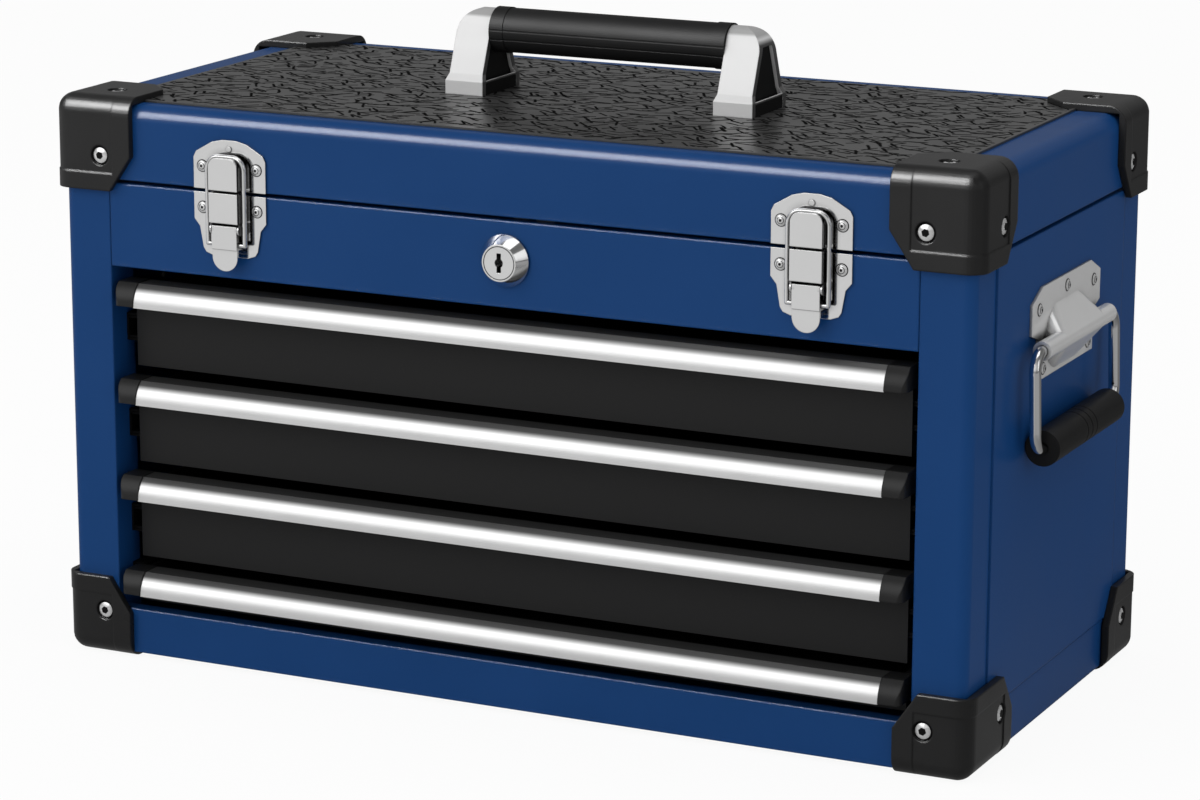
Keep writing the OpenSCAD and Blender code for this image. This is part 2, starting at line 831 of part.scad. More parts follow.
// Height of the strap above the window on a post's outer side
window_top = 10;
// Height of the metal sill along the top of a post's foot
sill_t = 1;
// How far the handle's core rod reaches into each post
core_reach = 8;
core_r = 5;
// How far the grip's top stands above the posts
grip_rise = 1;
grip_z = handle_z + handle_h - grip_r + grip_rise;

// Runs its children at both posts, each with its outer side towards +X
module post_places() {
    translate([handle_x, handle_y, handle_z]) both_sides()
        translate([handle_span / 2, 0, 0]) children();
}

// Outline of a post seen from the end, drawn in by inset
module post_outline(inset, z0) {
    foot = handle_foot_d / 2 - inset;
    waist = foot - foot_step;
    bend_z = handle_foot_h + bend_rise;
    r = post_top_r - inset;
    cz = handle_h - inset - r;
    // Angle at which the sloping side meets the round top
    turn = acos(r / norm([waist, cz - bend_z])) - atan2(cz - bend_z, waist);
    side = [r * cos(turn), cz + r * sin(turn)];
    polygon([[-foot, z0], [foot, z0], [foot, handle_foot_h], [waist, bend_z], side,
        [-side.x, side.y], [-waist, bend_z], [-foot, handle_foot_h]]);
    translate([0, cz]) circle(r);
}

// The space inside a post, drawn in by gap: it is lower behind the window on the outer side
module post_space(gap, reach, z0) {
    slab_x(-reach, -gap) post_outline(strap_t + gap, z0);
    slab_x(-gap, reach) intersection() {
        post_outline(strap_t + gap, z0);
        translate([-handle_foot_d, z0])
            square([2 * handle_foot_d, handle_h - window_top - gap - z0]);
    }
}

module handle_posts() {
    hw = handle_post_w / 2;
    upper = hw - foot_step / 2;
    sill_z = handle_foot_h - sill_t;
    deep = handle_foot_d / 2 - strap_t / 2;
    color(chrome)
        post_places() {
            difference() {
                slab_x(-hw, hw) post_outline(0, 0);
                post_space(0, half_w, -overrun);
                both_sides()
                    slab_y(-handle_foot_d, handle_foot_d)
                        polygon([[hw, handle_foot_h], [hw + overrun, handle_foot_h],
                            [hw + overrun, handle_h + overrun], [upper, handle_h + overrun],
                            [upper, handle_foot_h + bend_rise]]);
                // The outer shoulder is rounded
                difference() {
                    block([upper - shoulder_r, -handle_foot_d, handle_h - shoulder_r],
                        [upper + overrun, handle_foot_d, handle_h + overrun]);
                    bar_y(-handle_foot_d, handle_foot_d, upper - shoulder_r,
                        handle_h - shoulder_r, shoulder_r);
                }
            }
            both_sides() block([upper, -deep, sill_z], [hw, deep, handle_foot_h]);
        }
}

module handle_inserts() {
    hw = handle_post_w / 2;
    upper = hw - foot_step / 2 - window_d;
    gap = seat_gap / 2;
    sill_z = handle_foot_h - sill_t - gap;
    color(dark)
        post_places() difference() {
            intersection() {
                post_space(gap, hw, 0);
                union() {
                    block([-upper, -handle_foot_d, 0], [upper, handle_foot_d, handle_h]);
                    block([-hw, -handle_foot_d, 0], [hw, handle_foot_d, sill_z]);
                }
            }
            bar_x(-hw - overrun, core_reach - hw, 0, grip_z - handle_z, core_r + pin_play);
            for (y = [-1, 1])
                translate([0, y * handle_foot_d / 4, -overrun])
                    cylinder(h = handle_foot_h, r = screw_r + pin_play);
        }
}

// Length of the thicker collar at each end of the grip, and how far it stands proud
collar_l = 8;
collar_proud = 0.4;

module carry_grip() {
    half_l = (handle_span - handle_post_w) / 2 + foot_step / 2;
    color(rubber)
        translate([handle_x, 0, 0]) difference() {
            union() {
                bar_x(-half_l, half_l, handle_y, grip_z, grip_r - collar_proud);
                both_sides() bar_x(half_l - collar_l, half_l, handle_y, grip_z, grip_r);
            }
            bar_x(-half_l - overrun, half_l + overrun, handle_y, grip_z, core_r + pin_play);
        }
}

module handle_core() {
    half_l = (handle_span - handle_post_w) / 2 + core_reach;
    color(steel) translate([handle_x, 0, 0]) bar_x(-half_l, half_l, handle_y, grip_z, core_r);
}

module handle_screw_places() {
    post_places()
        for (y = [-1, 1])
            translate([0, y * handle_foot_d / 4, -mat_t]) children();
}

// Hinge

knuckle_count = 11;
knuckle_gap = 0.4;
hinge_half_l = half_w - top_guard_l - hinge_end_gap;
knuckle_l = 2 * hinge_half_l / knuckle_count;

// One leaf with its own knuckles: first is 0 or 1, and side is -1 below or 1 above the pin
module hinge_leaf(first, side) {
    clear_z = knuckle_r + knuckle_gap;
    difference() {
        union() {
            block([-hinge_half_l, rear_y, hinge_z + min(side * clear_z, side * (clear_z + leaf_h))],
                [hinge_half_l, rear_y + leaf_t,
                    hinge_z + max(side * clear_z, side * (clear_z + leaf_h))]);
            for (n = [first : 2 : knuckle_count - 1]) {
                x0 = -hinge_half_l + n * knuckle_l + knuckle_gap / 2;
                x1 = x0 + knuckle_l - knuckle_gap;
                block([x0, rear_y, hinge_z + min(0, side * (clear_z + leaf_t))],
                    [x1, rear_y + leaf_t, hinge_z + max(0, side * (clear_z + leaf_t))]);
                bar_x(x0, x1, hinge_y, hinge_z, knuckle_r);
            }
        }
        bar_x(-hinge_half_l - overrun, hinge_half_l + overrun, hinge_y, hinge_z,
            pin_r + pin_play);
        if (side < 0)
            cabinet_leaf_rivet_places() bar_y(-half_w, half_w, 0, 0, rivet_r + pin_play);
        else
            lid_leaf_rivet_places() bar_y(-half_w, half_w, 0, 0, rivet_r + pin_play);
    }
}

module hinge_leaf_cabinet() {
    color(steel) hinge_leaf(0, -1);
}

module hinge_leaf_lid() {
    color(steel) hinge_leaf(1, 1);
}

module hinge_pin() {
    color(steel) bar_x(-hinge_half_l, hinge_half_l, hinge_y, hinge_z, pin_r);
}

// Fasteners

rivet_r = 1.6;
rivet_head_r = 3.1;
rivet_head_h = 1.4;
leaf_rivets = 6;

module leaf_rivet_row(z) {
    for (n = [0 : leaf_rivets - 1])
        translate([(2 * n + 1 - leaf_rivets) * hinge_half_l / leaf_rivets, 0, z]) children();
}

module cabinet_leaf_rivet_places() {
    leaf_rivet_row(hinge_z - knuckle_r - leaf_h / 2) children();
}

module lid_leaf_rivet_places() {
    leaf_rivet_row(hinge_z + knuckle_r + leaf_h / 2) children();
}

// A domed rivet along Y: the head stands on the face at y = face and the shank runs to y = tail
module rivet_y(face, tail) {
    d = tail > face ? -1 : 1;
    bar_y(min(face, tail), max(face, tail), 0, 0, rivet_r);
    intersection() {
        bar_y(min(face, face + d * rivet_head_h), max(face, face + d * rivet_head_h), 0, 0,
            rivet_head_r);
        translate([0, face + d * (rivet_head_h - rivet_head_r - rivet_head_h), 0])
            sphere(rivet_head_r + rivet_head_h);
    }
}

module latch_places() {
    for (s = [-1, 1]) translate([latch_x + s * latch_spacing, 0, 0]) children();
}

module cabinet_fasteners() {
    color(chrome) {
        for (sx = [-1, 1], sy = [-1, 1])
            at_base_corner(sx, sy) base_corner_screws(sy > 0) screw_body();
        latch_places() base_rivet_places()
            rivet_y(front_y - latch_sheet, front_y + sheet + rivet_r);
        cabinet_leaf_rivet_places() rivet_y(rear_y + leaf_t, rear_y - sheet - rivet_r);
        both_sides() bracket_rivet_places()
            rotate([0, 0, 90]) rivet_y(-half_w - bracket_t, -half_w + sheet + rivet_r);
    }
}

module lid_fasteners() {
    color(chrome) {
        for (sx = [-1, 1], sy = [-1, 1])
            at_lid_corner(sx, sy) lid_corner_screws() screw_body();
        latch_places() keeper_rivet_places()
            rivet_y(front_y - latch_sheet, front_y + sheet + rivet_r);
        lid_leaf_rivet_places() rivet_y(rear_y + leaf_t, rear_y - sheet - rivet_r);
        handle_screw_places() {
            translate([0, 0, -sheet - screw_r]) cylinder(h = screw_r, r = screw_head_r);
            translate([0, 0, -sheet]) cylinder(h = sheet + mat_t + handle_foot_h / 2, r = screw_r);
        }
    }
}

// Latches: heights are measured from the parting line's middle

latch_top = 27.6;
latch_shoulder = 20.6;
// Half the width of a latch's upper plate where its slopes begin to level out, and at its top
crown_x = 10.6;
crown_top_x = 4.2;
latch_bottom = 34.4;
// The lower plate narrows in two steps: half its width and the depth at each
latch_taper = 15.4;
waist_x = 18.4;
waist_z = 19.4;
plate_foot_x = 16.4;
plate_foot_z = 30.6;
plate_gap = 0.9;
cover_z0 = 2;
cover_z1 = 19.2;
housing_z1 = 0.6;
housing_z0 = -15.3;
lever_z1 = -16.9;
lever_z0 = -29.4;
tab_z0 = -41;
pivot_z = -18.9;
pivot_proud = 5.2;
lever_proud = 7.8;
ear_t = 1;
ear_r = 2.9;
pivot_r = 1.2;
latch_play = 0.25;
rivet_x = 16.3;
rivet_up = 13;
rivet_down = 9;
plate_corner = 3;
cover_corner_r = 5;
bail_corner_r = 7;
hump_h = 3.4;
hump_w = 11;
bail_pivot_z = pivot_z - lever_throw;

module base_rivet_places() {
    for (s = [-1, 1]) translate([s * rivet_x, 0, hinge_z - rivet_down]) children();
}

module keeper_rivet_places() {
    for (s = [-1, 1]) translate([s * rivet_x, 0, hinge_z + rivet_up]) children();
}

// Moves its children to the latch's own frame: parting line at z = 0, cabinet front at y = 0
module latch_frame(s) {
    translate([latch_x + s * latch_spacing, front_y, hinge_z]) children();
}

module keeper() {
    hw = latch_w / 2;
    difference() {
        union() {
            slab_y(-latch_sheet, 0) both_sides()
                polygon([[0, plate_gap], [hw, plate_gap], [hw, latch_shoulder - plate_corner],
                    [hw - plate_corner / 2, latch_shoulder],
                    [crown_x, latch_top - plate_corner / 2], [crown_top_x, latch_top],
                    [0, latch_top]]);
            // The low hook that the bail's upper end lies over
            block([-hump_w / 2, -hump_h, cover_z0], [hump_w / 2, 0, cover_z1 - plate_corner]);
            translate([0, -latch_sheet, latch_top - plate_corner - rivet_r]) rotate([90, 0, 0])
                cylinder(h = latch_sheet / 2, r = rivet_r);
        }
        for (s = [-1, 1]) bar_y(-half_w, half_w, s * rivet_x, rivet_up, rivet_r + pin_play);
    }
}

module latch_keepers() {
    color(chrome) for (s = [-1, 1]) latch_frame(s) keeper();
}

module latch_base() {
    hw = latch_w / 2;
    hx = cover_w / 2;
    ear_x = lever_w / 2 + latch_play;
    difference() {
        union() {
            slab_y(-latch_sheet, 0) both_sides()
                polygon([[0, -plate_gap], [hw, -plate_gap], [hw, -latch_taper],
                    [waist_x, -waist_z], [plate_foot_x, -plate_foot_z],
                    [plate_foot_x - plate_corner / 2, -latch_bottom + plate_corner / 2],
                    [crown_x, -latch_bottom], [0, -latch_bottom]]);
            // The housing above the lever is pressed up from the plate
            difference() {
                block([-hx, -latch_proud, housing_z0], [hx, 0, housing_z1]);
                block([-hx + latch_sheet, -latch_proud + latch_sheet, housing_z0 - overrun],
                    [hx - latch_sheet, -latch_sheet, housing_z1 - latch_sheet]);
            }
            both_sides() {
                bar_x(ear_x, ear_x + ear_t, -pivot_proud, pivot_z, ear_r);
                block([ear_x, -pivot_proud, pivot_z - ear_r],
                    [ear_x + ear_t, 0, pivot_z + ear_r]);
            }
            bar_x(-ear_x - ear_t, ear_x + ear_t, -pivot_proud, pivot_z, pivot_r);
        }
        for (s = [-1, 1]) bar_y(-half_w, half_w, s * rivet_x, -rivet_down, rivet_r + pin_play);
    }
}

module latch_bases() {
    color(chrome) for (s = [-1, 1]) latch_frame(s) latch_base();
}

module latch_lever(s) {
    hx = lever_w / 2;
    cheek_back = -pivot_proud + ear_r;
    tab_r = hx;
    tab_y = -lever_proud + latch_sheet / 2;
    color(chrome)
        latch_frame(s) difference() {
            union() {
                block([-hx, -lever_proud, lever_z0], [hx, -lever_proud + latch_sheet, lever_z1]);
                both_sides() {
                    block([hx - latch_sheet, -lever_proud, lever_z0], [hx, cheek_back, pivot_z]);
                    block([hx - latch_sheet, -lever_proud, pivot_z], [hx, -pivot_proud, lever_z1]);
                    bar_x(hx - latch_sheet, hx, -pivot_proud, pivot_z, ear_r - latch_play);
                }
                // The thumb tab below, round at its end
                slab_y(tab_y, tab_y + latch_sheet) {
                    translate([0, tab_z0 + tab_r]) circle(tab_r);
                    translate([-tab_r, tab_z0 + tab_r]) square([2 * tab_r, lever_z0 - tab_z0
                        - tab_r + latch_sheet]);
                }
            }
            bar_x(-hx - overrun, hx + overrun, -pivot_proud, pivot_z, pivot_r + pin_play);
            bar_x(-hx - overrun, hx + overrun, -pivot_proud, bail_pivot_z, wire_r + pin_play);
        }
}

module latch_lever_left() {
    latch_lever(-1);
}

module latch_lever_right() {
    latch_lever(1);
}

// A quarter bend of wire in the XZ plane, from straight up to straight inwards
module wire_bend(r, wire) {
    rotate([90, 0, 0]) rotate_extrude(angle = 90) translate([r, 0]) circle(wire);
}

module latch_bail(s) {
    leg_x = bail_w / 2;
    hx = lever_w / 2;
    top_z = cover_z1 + latch_play;
    r = bail_corner_r;
    wall = latch_sheet;
    cover_back = -pivot_proud + wire_r - latch_play;
    color(chrome)
        latch_frame(s) {
            translate([0, -pivot_proud, 0]) {
                both_sides() {
                    bar_x(hx - latch_sheet, leg_x, 0, bail_pivot_z, wire_r);
                    translate([leg_x, 0, bail_pivot_z]) sphere(wire_r);
                    translate([leg_x, 0, bail_pivot_z])
                        cylinder(h = top_z - r - bail_pivot_z, r = wire_r);
                    translate([leg_x - r, 0, top_z - r]) wire_bend(r, wire_r);
                }
                bar_x(-leg_x + r, leg_x - r, 0, top_z, wire_r);
            }
            // The pressed cover, clipped on the wire's upper bar
            difference() {
                slab_y(-latch_proud, cover_back) cover_outline(0);
                slab_y(-latch_proud + wall, cover_back + overrun) cover_outline(wall);
            }
        }
}

// The cover seen from the front: square below, rounded above
module cover_outline(inset) {
    hx = cover_w / 2 - inset;
    r = cover_corner_r - inset;
    z0 = cover_z0 + inset;
    z1 = cover_z1 - inset;
    for (s = [-1, 1]) translate([s * (hx - r), z1 - r]) circle(r);
    translate([-hx, z0]) square([2 * hx, z1 - r - z0]);
    translate([-hx + r, z0]) square([2 * (hx - r), z1 - z0]);
}

module latch_bail_left() {
    latch_bail(-1);
}

module latch_bail_right() {
    latch_bail(1);
}

// Lock

lock_z = open_z + lock_rise;
nut_t = 4;
barrel_back = 15;
plug_back = 17;
cam_t = 2;
cam_w = 8;
bezel_step = 1.5;
keyway_w = 2.4;
keyway_l = 10;
keyway_r = 2.3;

module lock_frame() {
    translate([lock_x, front_y, lock_z]) children();
}

module lock_housing() {
    color(chrome)
        lock_frame() rotate([90, 0, 0]) rotate_extrude() {
            polygon([[plug_r + pin_play, -barrel_back], [barrel_r, -barrel_back], [barrel_r, 0],
                [bezel_r, 0], [bezel_r, bezel_step], [bezel_face_r, bezel_h],
                [plug_r + pin_play, bezel_h]]);
        }
}

module lock_nut() {
    across = 2 * (barrel_r + nut_t / 2);
    color(steel)
        lock_frame() difference() {
            translate([0, sheet, 0]) rotate([-90, 0, 0])
                cylinder(h = nut_t, r = across / sqrt(3), $fn = 6);
            bar_y(0, nut_t + 2 * sheet, 0, 0, barrel_r + pin_play);
        }
}

module lock_plug() {
    color(chrome)
        lock_frame() difference() {
            bar_y(-bezel_h + pin_play, plug_back, 0, 0, plug_r);
            bar_y(-bezel_h - overrun, -bezel_h / 4, 0, 0, keyway_r);
            block([-keyway_w / 2, -bezel_h - overrun, -keyway_l / 2],
                [keyway_w / 2, -bezel_h / 4, keyway_l / 2]);
        }
}

module lock_cam() {
    color(steel)
        lock_frame() {
            bar_y(plug_back, plug_back + cam_t, 0, 0, plug_r);
            block([-cam_w / 2, plug_back, 0], [cam_w / 2, plug_back + cam_t, cam_l]);
            bar_y(plug_back + cam_t, plug_back + 2 * cam_t, 0, 0, plug_r / 2);
        }
}

// The lid's striker hangs beside the lock, and the cam turns in over its shelf
module lid_striker() {
    w = cam_w + cam_t;
    x0 = lock_x + barrel_r + pin_play + seat_gap;
    leg_y = front_y + plug_back - 2 * cam_t + seat_gap;
    shelf_z = lock_z - cam_w / 2 - 2 * seat_gap;
    wall_z = rim_z + flange_d;
    t = slide_sheet;
    color(steel) {
        block([x0, leg_y, shelf_z - t], [x0 + w, leg_y + t, wall_z + t]);
        block([x0, leg_y, shelf_z - t], [x0 + w, front_y + plug_back + 2 * cam_t, shelf_z]);
        block([x0, front_y + sheet, wall_z], [x0 + w, leg_y + t, wall_z + t]);
        block([x0, front_y + sheet, rim_z + sheet + seat_gap],
            [x0 + w, front_y + sheet + t, wall_z + t]);
    }
}

// Side handles

side_y = mid_y + side_back;
barrel_y = side_y - bail_front;
barrel_x = half_w + barrel_off;
barrel_z = top_z - barrel_drop;
barrel_outer_r = rod_r + 2;
rod_bend_r = 10;
barrel_half_l = side_span / 2 - rod_bend_r - seat_gap;
// Reach of the plate above and below the barrel's axis
bracket_up = 29;
bracket_down = 19;
bracket_cut_w = 15;
bracket_cut_h = 7;
// Height at which the plate widens, and how much narrower each end is below it
bracket_step_z = 6;
bracket_step_w = 10;
// The raised hump that holds the barrel: half its length along the barrel, the radius of its
// upper corners and the distance of their middles from the plate's middle
hump_half_l = 33;
hump_corner_r = 17;
hump_corner_y = 14;
// Places of the plate's rivets, from the plate's middle and the barrel's axis
rivet_end_y = 41.6;
rivet_end_z = 18;
rivet_mid_z = 23;
rivet_low_y = 34.3;
rivet_low_z = 13.7;
// The grip hangs against the side panel, so the bail leans out a little
bail_lean = asin((side_grip_r + seat_gap - barrel_off) / side_drop);

module bracket_rivet_places() {
    for (p = [[-rivet_end_y, rivet_end_z], [0, rivet_mid_z], [rivet_end_y, rivet_end_z],
            [-rivet_low_y, -rivet_low_z], [rivet_low_y, -rivet_low_z]])
        translate([0, side_y + p.x, barrel_z + p.y]) children();
}

module handle_bracket() {
    hw = bracket_w / 2;
    low = hw - bracket_step_w;
    difference() {
        union() {
            slab_x(half_w, half_w + bracket_t) translate([side_y, barrel_z])
                polygon([[-low, -bracket_down], [low, -bracket_down], [low, bracket_step_z
                    - bracket_cut_h / 2], [hw, bracket_step_z], [hw, bracket_up - bracket_cut_h],
                    [hw - bracket_cut_w, bracket_up], [-hw + bracket_cut_w, bracket_up],
                    [-hw, bracket_up - bracket_cut_h], [-hw, bracket_step_z],
                    [-low, bracket_step_z - bracket_cut_h / 2]]);
            bar_y(barrel_y - barrel_half_l, barrel_y + barrel_half_l, barrel_x, barrel_z,
                barrel_outer_r);
            hull() {
                for (s = [-1, 1])
                    translate([half_w, side_y + s * hump_corner_y, barrel_z])
                        rotate([0, 90, 0])
                            cylinder(h = bracket_t, r = hump_corner_r, $fn = shell_fn);
                for (s = [-1, 1])
                    translate([barrel_x, side_y + s * (hump_half_l - barrel_outer_r), barrel_z])
                        sphere(barrel_outer_r, $fn = shell_fn);
            }
        }
        bar_y(barrel_y - barrel_half_l - overrun, barrel_y + barrel_half_l + overrun, barrel_x,
            barrel_z, rod_r + pin_play);
        bracket_rivet_places() bar_x(0, 2 * half_w, 0, 0, rivet_r + pin_play);
        block([0, side_y - hw - overrun, barrel_z - hw], [half_w, side_y + hw + overrun,
            barrel_z + hw]);
    }
}

module handle_brackets() {
    color(chrome) both_sides() handle_bracket();
}

// Moves its children to the bail's own frame: X along the legs' spread, Z down the legs
module bail_frame() {
    translate([barrel_x, barrel_y, barrel_z]) rotate([0, 180 - bail_lean, 0]) children();
}

module bail_rod() {
    half = side_span / 2;
    r = rod_bend_r;
    bail_frame() {
        bar_y(-half + r, half - r, 0, 0, rod_r);
        bar_y(-half + r, half - r, 0, side_drop, rod_r);
        for (s = [-1, 1]) {
            translate([0, s * half, r]) cylinder(h = side_drop - 2 * r, r = rod_r);
            translate([0, s * (half - r), side_drop - r]) rotate([0, 0, s * 90])
                wire_bend(r, rod_r);
            translate([0, s * (half - r), r]) rotate([0, 0, s * 90]) mirror([0, 0, 1])
                wire_bend(r, rod_r);
        }
    }
}

// Half the distance between the two grooves round a side grip, and the grooves' size
groove_place = 7;
groove_w = 1;
groove_d = 0.6;

module side_grip() {
    half = barrel_half_l;
    bail_frame() difference() {
        bar_y(-half, half, 0, side_drop, side_grip_r);
        bar_y(-half - overrun, half + overrun, 0, side_drop, rod_r + pin_play);
        for (y = [-groove_place, 0, groove_place])
            difference() {
                bar_y(y - groove_w / 2, y + groove_w / 2, 0, side_drop, side_grip_r + overrun);
                bar_y(y - groove_w, y + groove_w, 0, side_drop, side_grip_r - groove_d);
            }
    }
}

module side_bail_right() {
    color(chrome) bail_rod();
}

module side_bail_left() {
    color(chrome) mirror([1, 0, 0]) bail_rod();
}

module side_grip_right() {
    color(rubber) side_grip();
}

module side_grip_left() {
    color(rubber) mirror([1, 0, 0]) side_grip();
}

base_pan();
front_posts();
rear_posts();
side_panel_left();
side_panel_right();
back_panel();
lock_panel();
top_tray();
cabinet_slides();
bottom_guards_front();
bottom_guards_rear();
hinge_leaf_cabinet();
hinge_pin();
lock_housing();
lock_nut();
latch_bases();
handle_brackets();
cabinet_fasteners();
lid_shell();
lid_mat();
top_guards_front();
top_guards_rear();
handle_posts();
handle_inserts();
carry_grip();
handle_core();
hinge_leaf_lid();
latch_keepers();
lid_fasteners();
lid_striker();
latch_lever_left();
latch_lever_right();
latch_bail_left();
latch_bail_right();
side_bail_left();
side_bail_right();
side_grip_left();
side_grip_right();
lock_plug();
lock_cam();
drawer_pan(1);  // drawer_pan_1
drawer_pan(2);  // drawer_pan_2
drawer_pan(3);  // drawer_pan_3
drawer_pan(4);  // drawer_pan_4
drawer_slides(1);  // drawer_slides_1
drawer_slides(2);  // drawer_slides_2
drawer_slides(3);  // drawer_slides_3
drawer_slides(4);  // drawer_slides_4
pull_channel(1);  // pull_channel_1
pull_channel(2);  // pull_channel_2
pull_channel(3);  // pull_channel_3
pull_channel(4);  // pull_channel_4
pull_strip(1);  // pull_strip_1
pull_strip(2);  // pull_strip_2
pull_strip(3);  // pull_strip_3
pull_strip(4);  // pull_strip_4
pull_caps(1);  // pull_caps_1
pull_caps(2);  // pull_caps_2
pull_caps(3);  // pull_caps_3
pull_caps(4);  // pull_caps_4
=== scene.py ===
import math

import bpy
from mathutils import Matrix, Vector


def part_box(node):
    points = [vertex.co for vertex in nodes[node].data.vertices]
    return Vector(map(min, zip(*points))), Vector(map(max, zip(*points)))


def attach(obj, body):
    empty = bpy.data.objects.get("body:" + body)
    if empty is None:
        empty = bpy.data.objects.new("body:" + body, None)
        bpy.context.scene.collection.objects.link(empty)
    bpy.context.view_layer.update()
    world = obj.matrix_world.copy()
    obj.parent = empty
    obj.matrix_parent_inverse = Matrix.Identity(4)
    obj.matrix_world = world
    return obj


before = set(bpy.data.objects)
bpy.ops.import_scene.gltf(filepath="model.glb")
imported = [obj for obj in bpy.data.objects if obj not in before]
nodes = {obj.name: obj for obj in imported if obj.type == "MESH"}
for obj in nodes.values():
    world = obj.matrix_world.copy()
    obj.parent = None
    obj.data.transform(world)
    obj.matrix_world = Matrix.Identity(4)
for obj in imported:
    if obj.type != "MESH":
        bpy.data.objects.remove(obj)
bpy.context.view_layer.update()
scene = bpy.context.scene
scene.view_settings.view_transform = "Standard"


# Camera: the photograph's own view, solved from the box's straight edges

CAMERA_PLACE = Vector((0.92389, -1.93107, 0.66295))
CAMERA_RIGHT = Vector((0.901541, 0.432683, 0.002937))
CAMERA_UP = Vector((-0.105074, 0.212338, 0.971531))
CAMERA_BACK = Vector((0.419742, -0.876183, 0.236895))
LENS_MM = 121.93
SENSOR_MM = 36.0
CLIP_NEAR = 0.05
CLIP_FAR = 60.0

camera_data = bpy.data.cameras.new("camera")
camera = bpy.data.objects.new("camera", camera_data)
scene.collection.objects.link(camera)
scene.camera = camera
camera_data.sensor_width = SENSOR_MM
camera_data.lens = LENS_MM
camera_data.clip_start = CLIP_NEAR
camera_data.clip_end = CLIP_FAR
turn = Matrix((CAMERA_RIGHT, CAMERA_UP, CAMERA_BACK)).transposed().to_4x4()
camera.matrix_world = Matrix.Translation(CAMERA_PLACE) @ turn


# Building node trees. Lengths are in metres, and the scales of noise are per metre.

BEVEL_SAMPLES = 6
GAP_SAMPLES = 6
MIDDLE_NOISE = (0.3, 0.7)


class Tree:
    """A node tree that is built by short calls."""

    def __init__(self, tree):
        self.tree = tree

    def add(self, kind, **values):
        """A new node; each value goes to the node's property or to its input of that name."""
        made = self.tree.nodes.new(kind)
        for key, value in values.items():
            if hasattr(made, key):
                setattr(made, key, value)
            else:
                made.inputs[key.replace("_", " ")].default_value = value
        return made

    def link(self, a, b):
        self.tree.links.new(a, b)

    def math(self, operation, a, b=None):
        made = self.add("ShaderNodeMath", operation=operation)
        for i, value in enumerate((a, b)):
            if value is None:
                continue
            if isinstance(value, (int, float)):
                made.inputs[i].default_value = value
            else:
                self.link(value, made.inputs[i])
        return made.outputs[0]

    def split(self, vector):
        """The X, Y and Z outputs of a vector."""
        made = self.add("ShaderNodeSeparateXYZ")
        self.link(vector, made.inputs[0])
        return made.outputs

    def noise(self, coords, scale, detail=3.0, rough=0.5):
        made = self.add("ShaderNodeTexNoise", Scale=scale, Detail=detail, Roughness=rough)
        self.link(coords, made.inputs["Vector"])
        return made.outputs["Fac"]

    def stretch(self, coords, scale):
        made = self.add("ShaderNodeMapping", Scale=scale)
        self.link(coords, made.inputs["Vector"])
        return made.outputs[0]

    def span(self, value, low, high, out_low=0.0, out_high=1.0):
        """The value between low and high, spread over out_low to out_high and held there."""
        made = self.add("ShaderNodeMapRange", From_Min=low, From_Max=high, To_Min=out_low,
                        To_Max=out_high)
        self.link(value, made.inputs["Value"])
        return made.outputs[0]

    def mix(self, fac, a, b):
        made = self.add("ShaderNodeMix", data_type="RGBA")
        self.link(fac, made.inputs[0])
        for value, socket in ((a, made.inputs[6]), (b, made.inputs[7])):
            if isinstance(value, tuple):
                socket.default_value = (*value, 1.0)
            else:
                self.link(value, socket)
        return made.outputs[2]

    def bump(self, height, distance, below=None):
        """The normal of a height, on top of the normal below."""
        made = self.add("ShaderNodeBump", Strength=1.0, Distance=distance)
        self.link(height, made.inputs["Height"])
        if below is not None:
            self.link(below, made.inputs["Normal"])
        return made.outputs[0]

    def rounded(self, radius):
        """The surface's normal, rounded over its edges."""
        return self.add("ShaderNodeBevel", samples=BEVEL_SAMPLES, Radius=radius).outputs[0]


def start(name):
    """A new material with its shader: (material, tree, shader, object coordinates)."""
    made = bpy.data.materials.new(name)
    made.use_nodes = True
    made.node_tree.nodes.clear()
    t = Tree(made.node_tree)
    shader = t.add("ShaderNodeBsdfPrincipled")
    out = t.add("ShaderNodeOutputMaterial")
    t.link(shader.outputs[0], out.inputs[0])
    return made, t, shader, t.add("ShaderNodeTexCoord").outputs["Object"]


def shade(color, share):
    return tuple(min(1.0, c * share) for c in color)


# Paint, plastic and rubber

CLOUD_SCALE = 14.0
CLOUD_VARY = 0.08
CLOUD_ROUGH = 0.05
DUST_SCALE = 160.0
DUST_FROM = 0.62
DUST_FULL = 0.8
DUST_PALER = 1.5
DUST_SHARE = 0.12
DUST_ROUGH = 0.08
COAT_ROUGH = 0.2


def coated(name, color, rough, grain, depth, coat=0.0, specular=0.5, soft=0.0):
    """Clouded colour, uneven gloss and a fine grain; soft is the radius of the edges."""
    made, t, shader, coords = start(name)
    cloud = t.noise(coords, CLOUD_SCALE, detail=4.0)
    fine = t.noise(coords, 1.0 / grain, detail=3.0, rough=0.6)
    dust = t.span(t.noise(coords, DUST_SCALE, detail=6.0, rough=0.7), DUST_FROM, DUST_FULL)
    base = t.mix(cloud, shade(color, 1 - CLOUD_VARY), shade(color, 1 + CLOUD_VARY))
    t.link(t.mix(t.math("MULTIPLY", dust, DUST_SHARE), base, shade(color, DUST_PALER)),
           shader.inputs["Base Color"])
    gloss = t.span(cloud, *MIDDLE_NOISE, rough - CLOUD_ROUGH, rough + CLOUD_ROUGH)
    t.link(t.math("ADD", gloss, t.math("MULTIPLY", dust, DUST_ROUGH)), shader.inputs["Roughness"])
    edges = t.rounded(soft) if soft else None
    t.link(t.bump(fine, depth, edges), shader.inputs["Normal"])
    if coat and soft:
        t.link(edges, shader.inputs["Coat Normal"])
    shader.inputs["Specular IOR Level"].default_value = specular
    if coat:
        shader.inputs["Coat Weight"].default_value = coat
        shader.inputs["Coat Roughness"].default_value = COAT_ROUGH
    return made


# Bare and plated metal

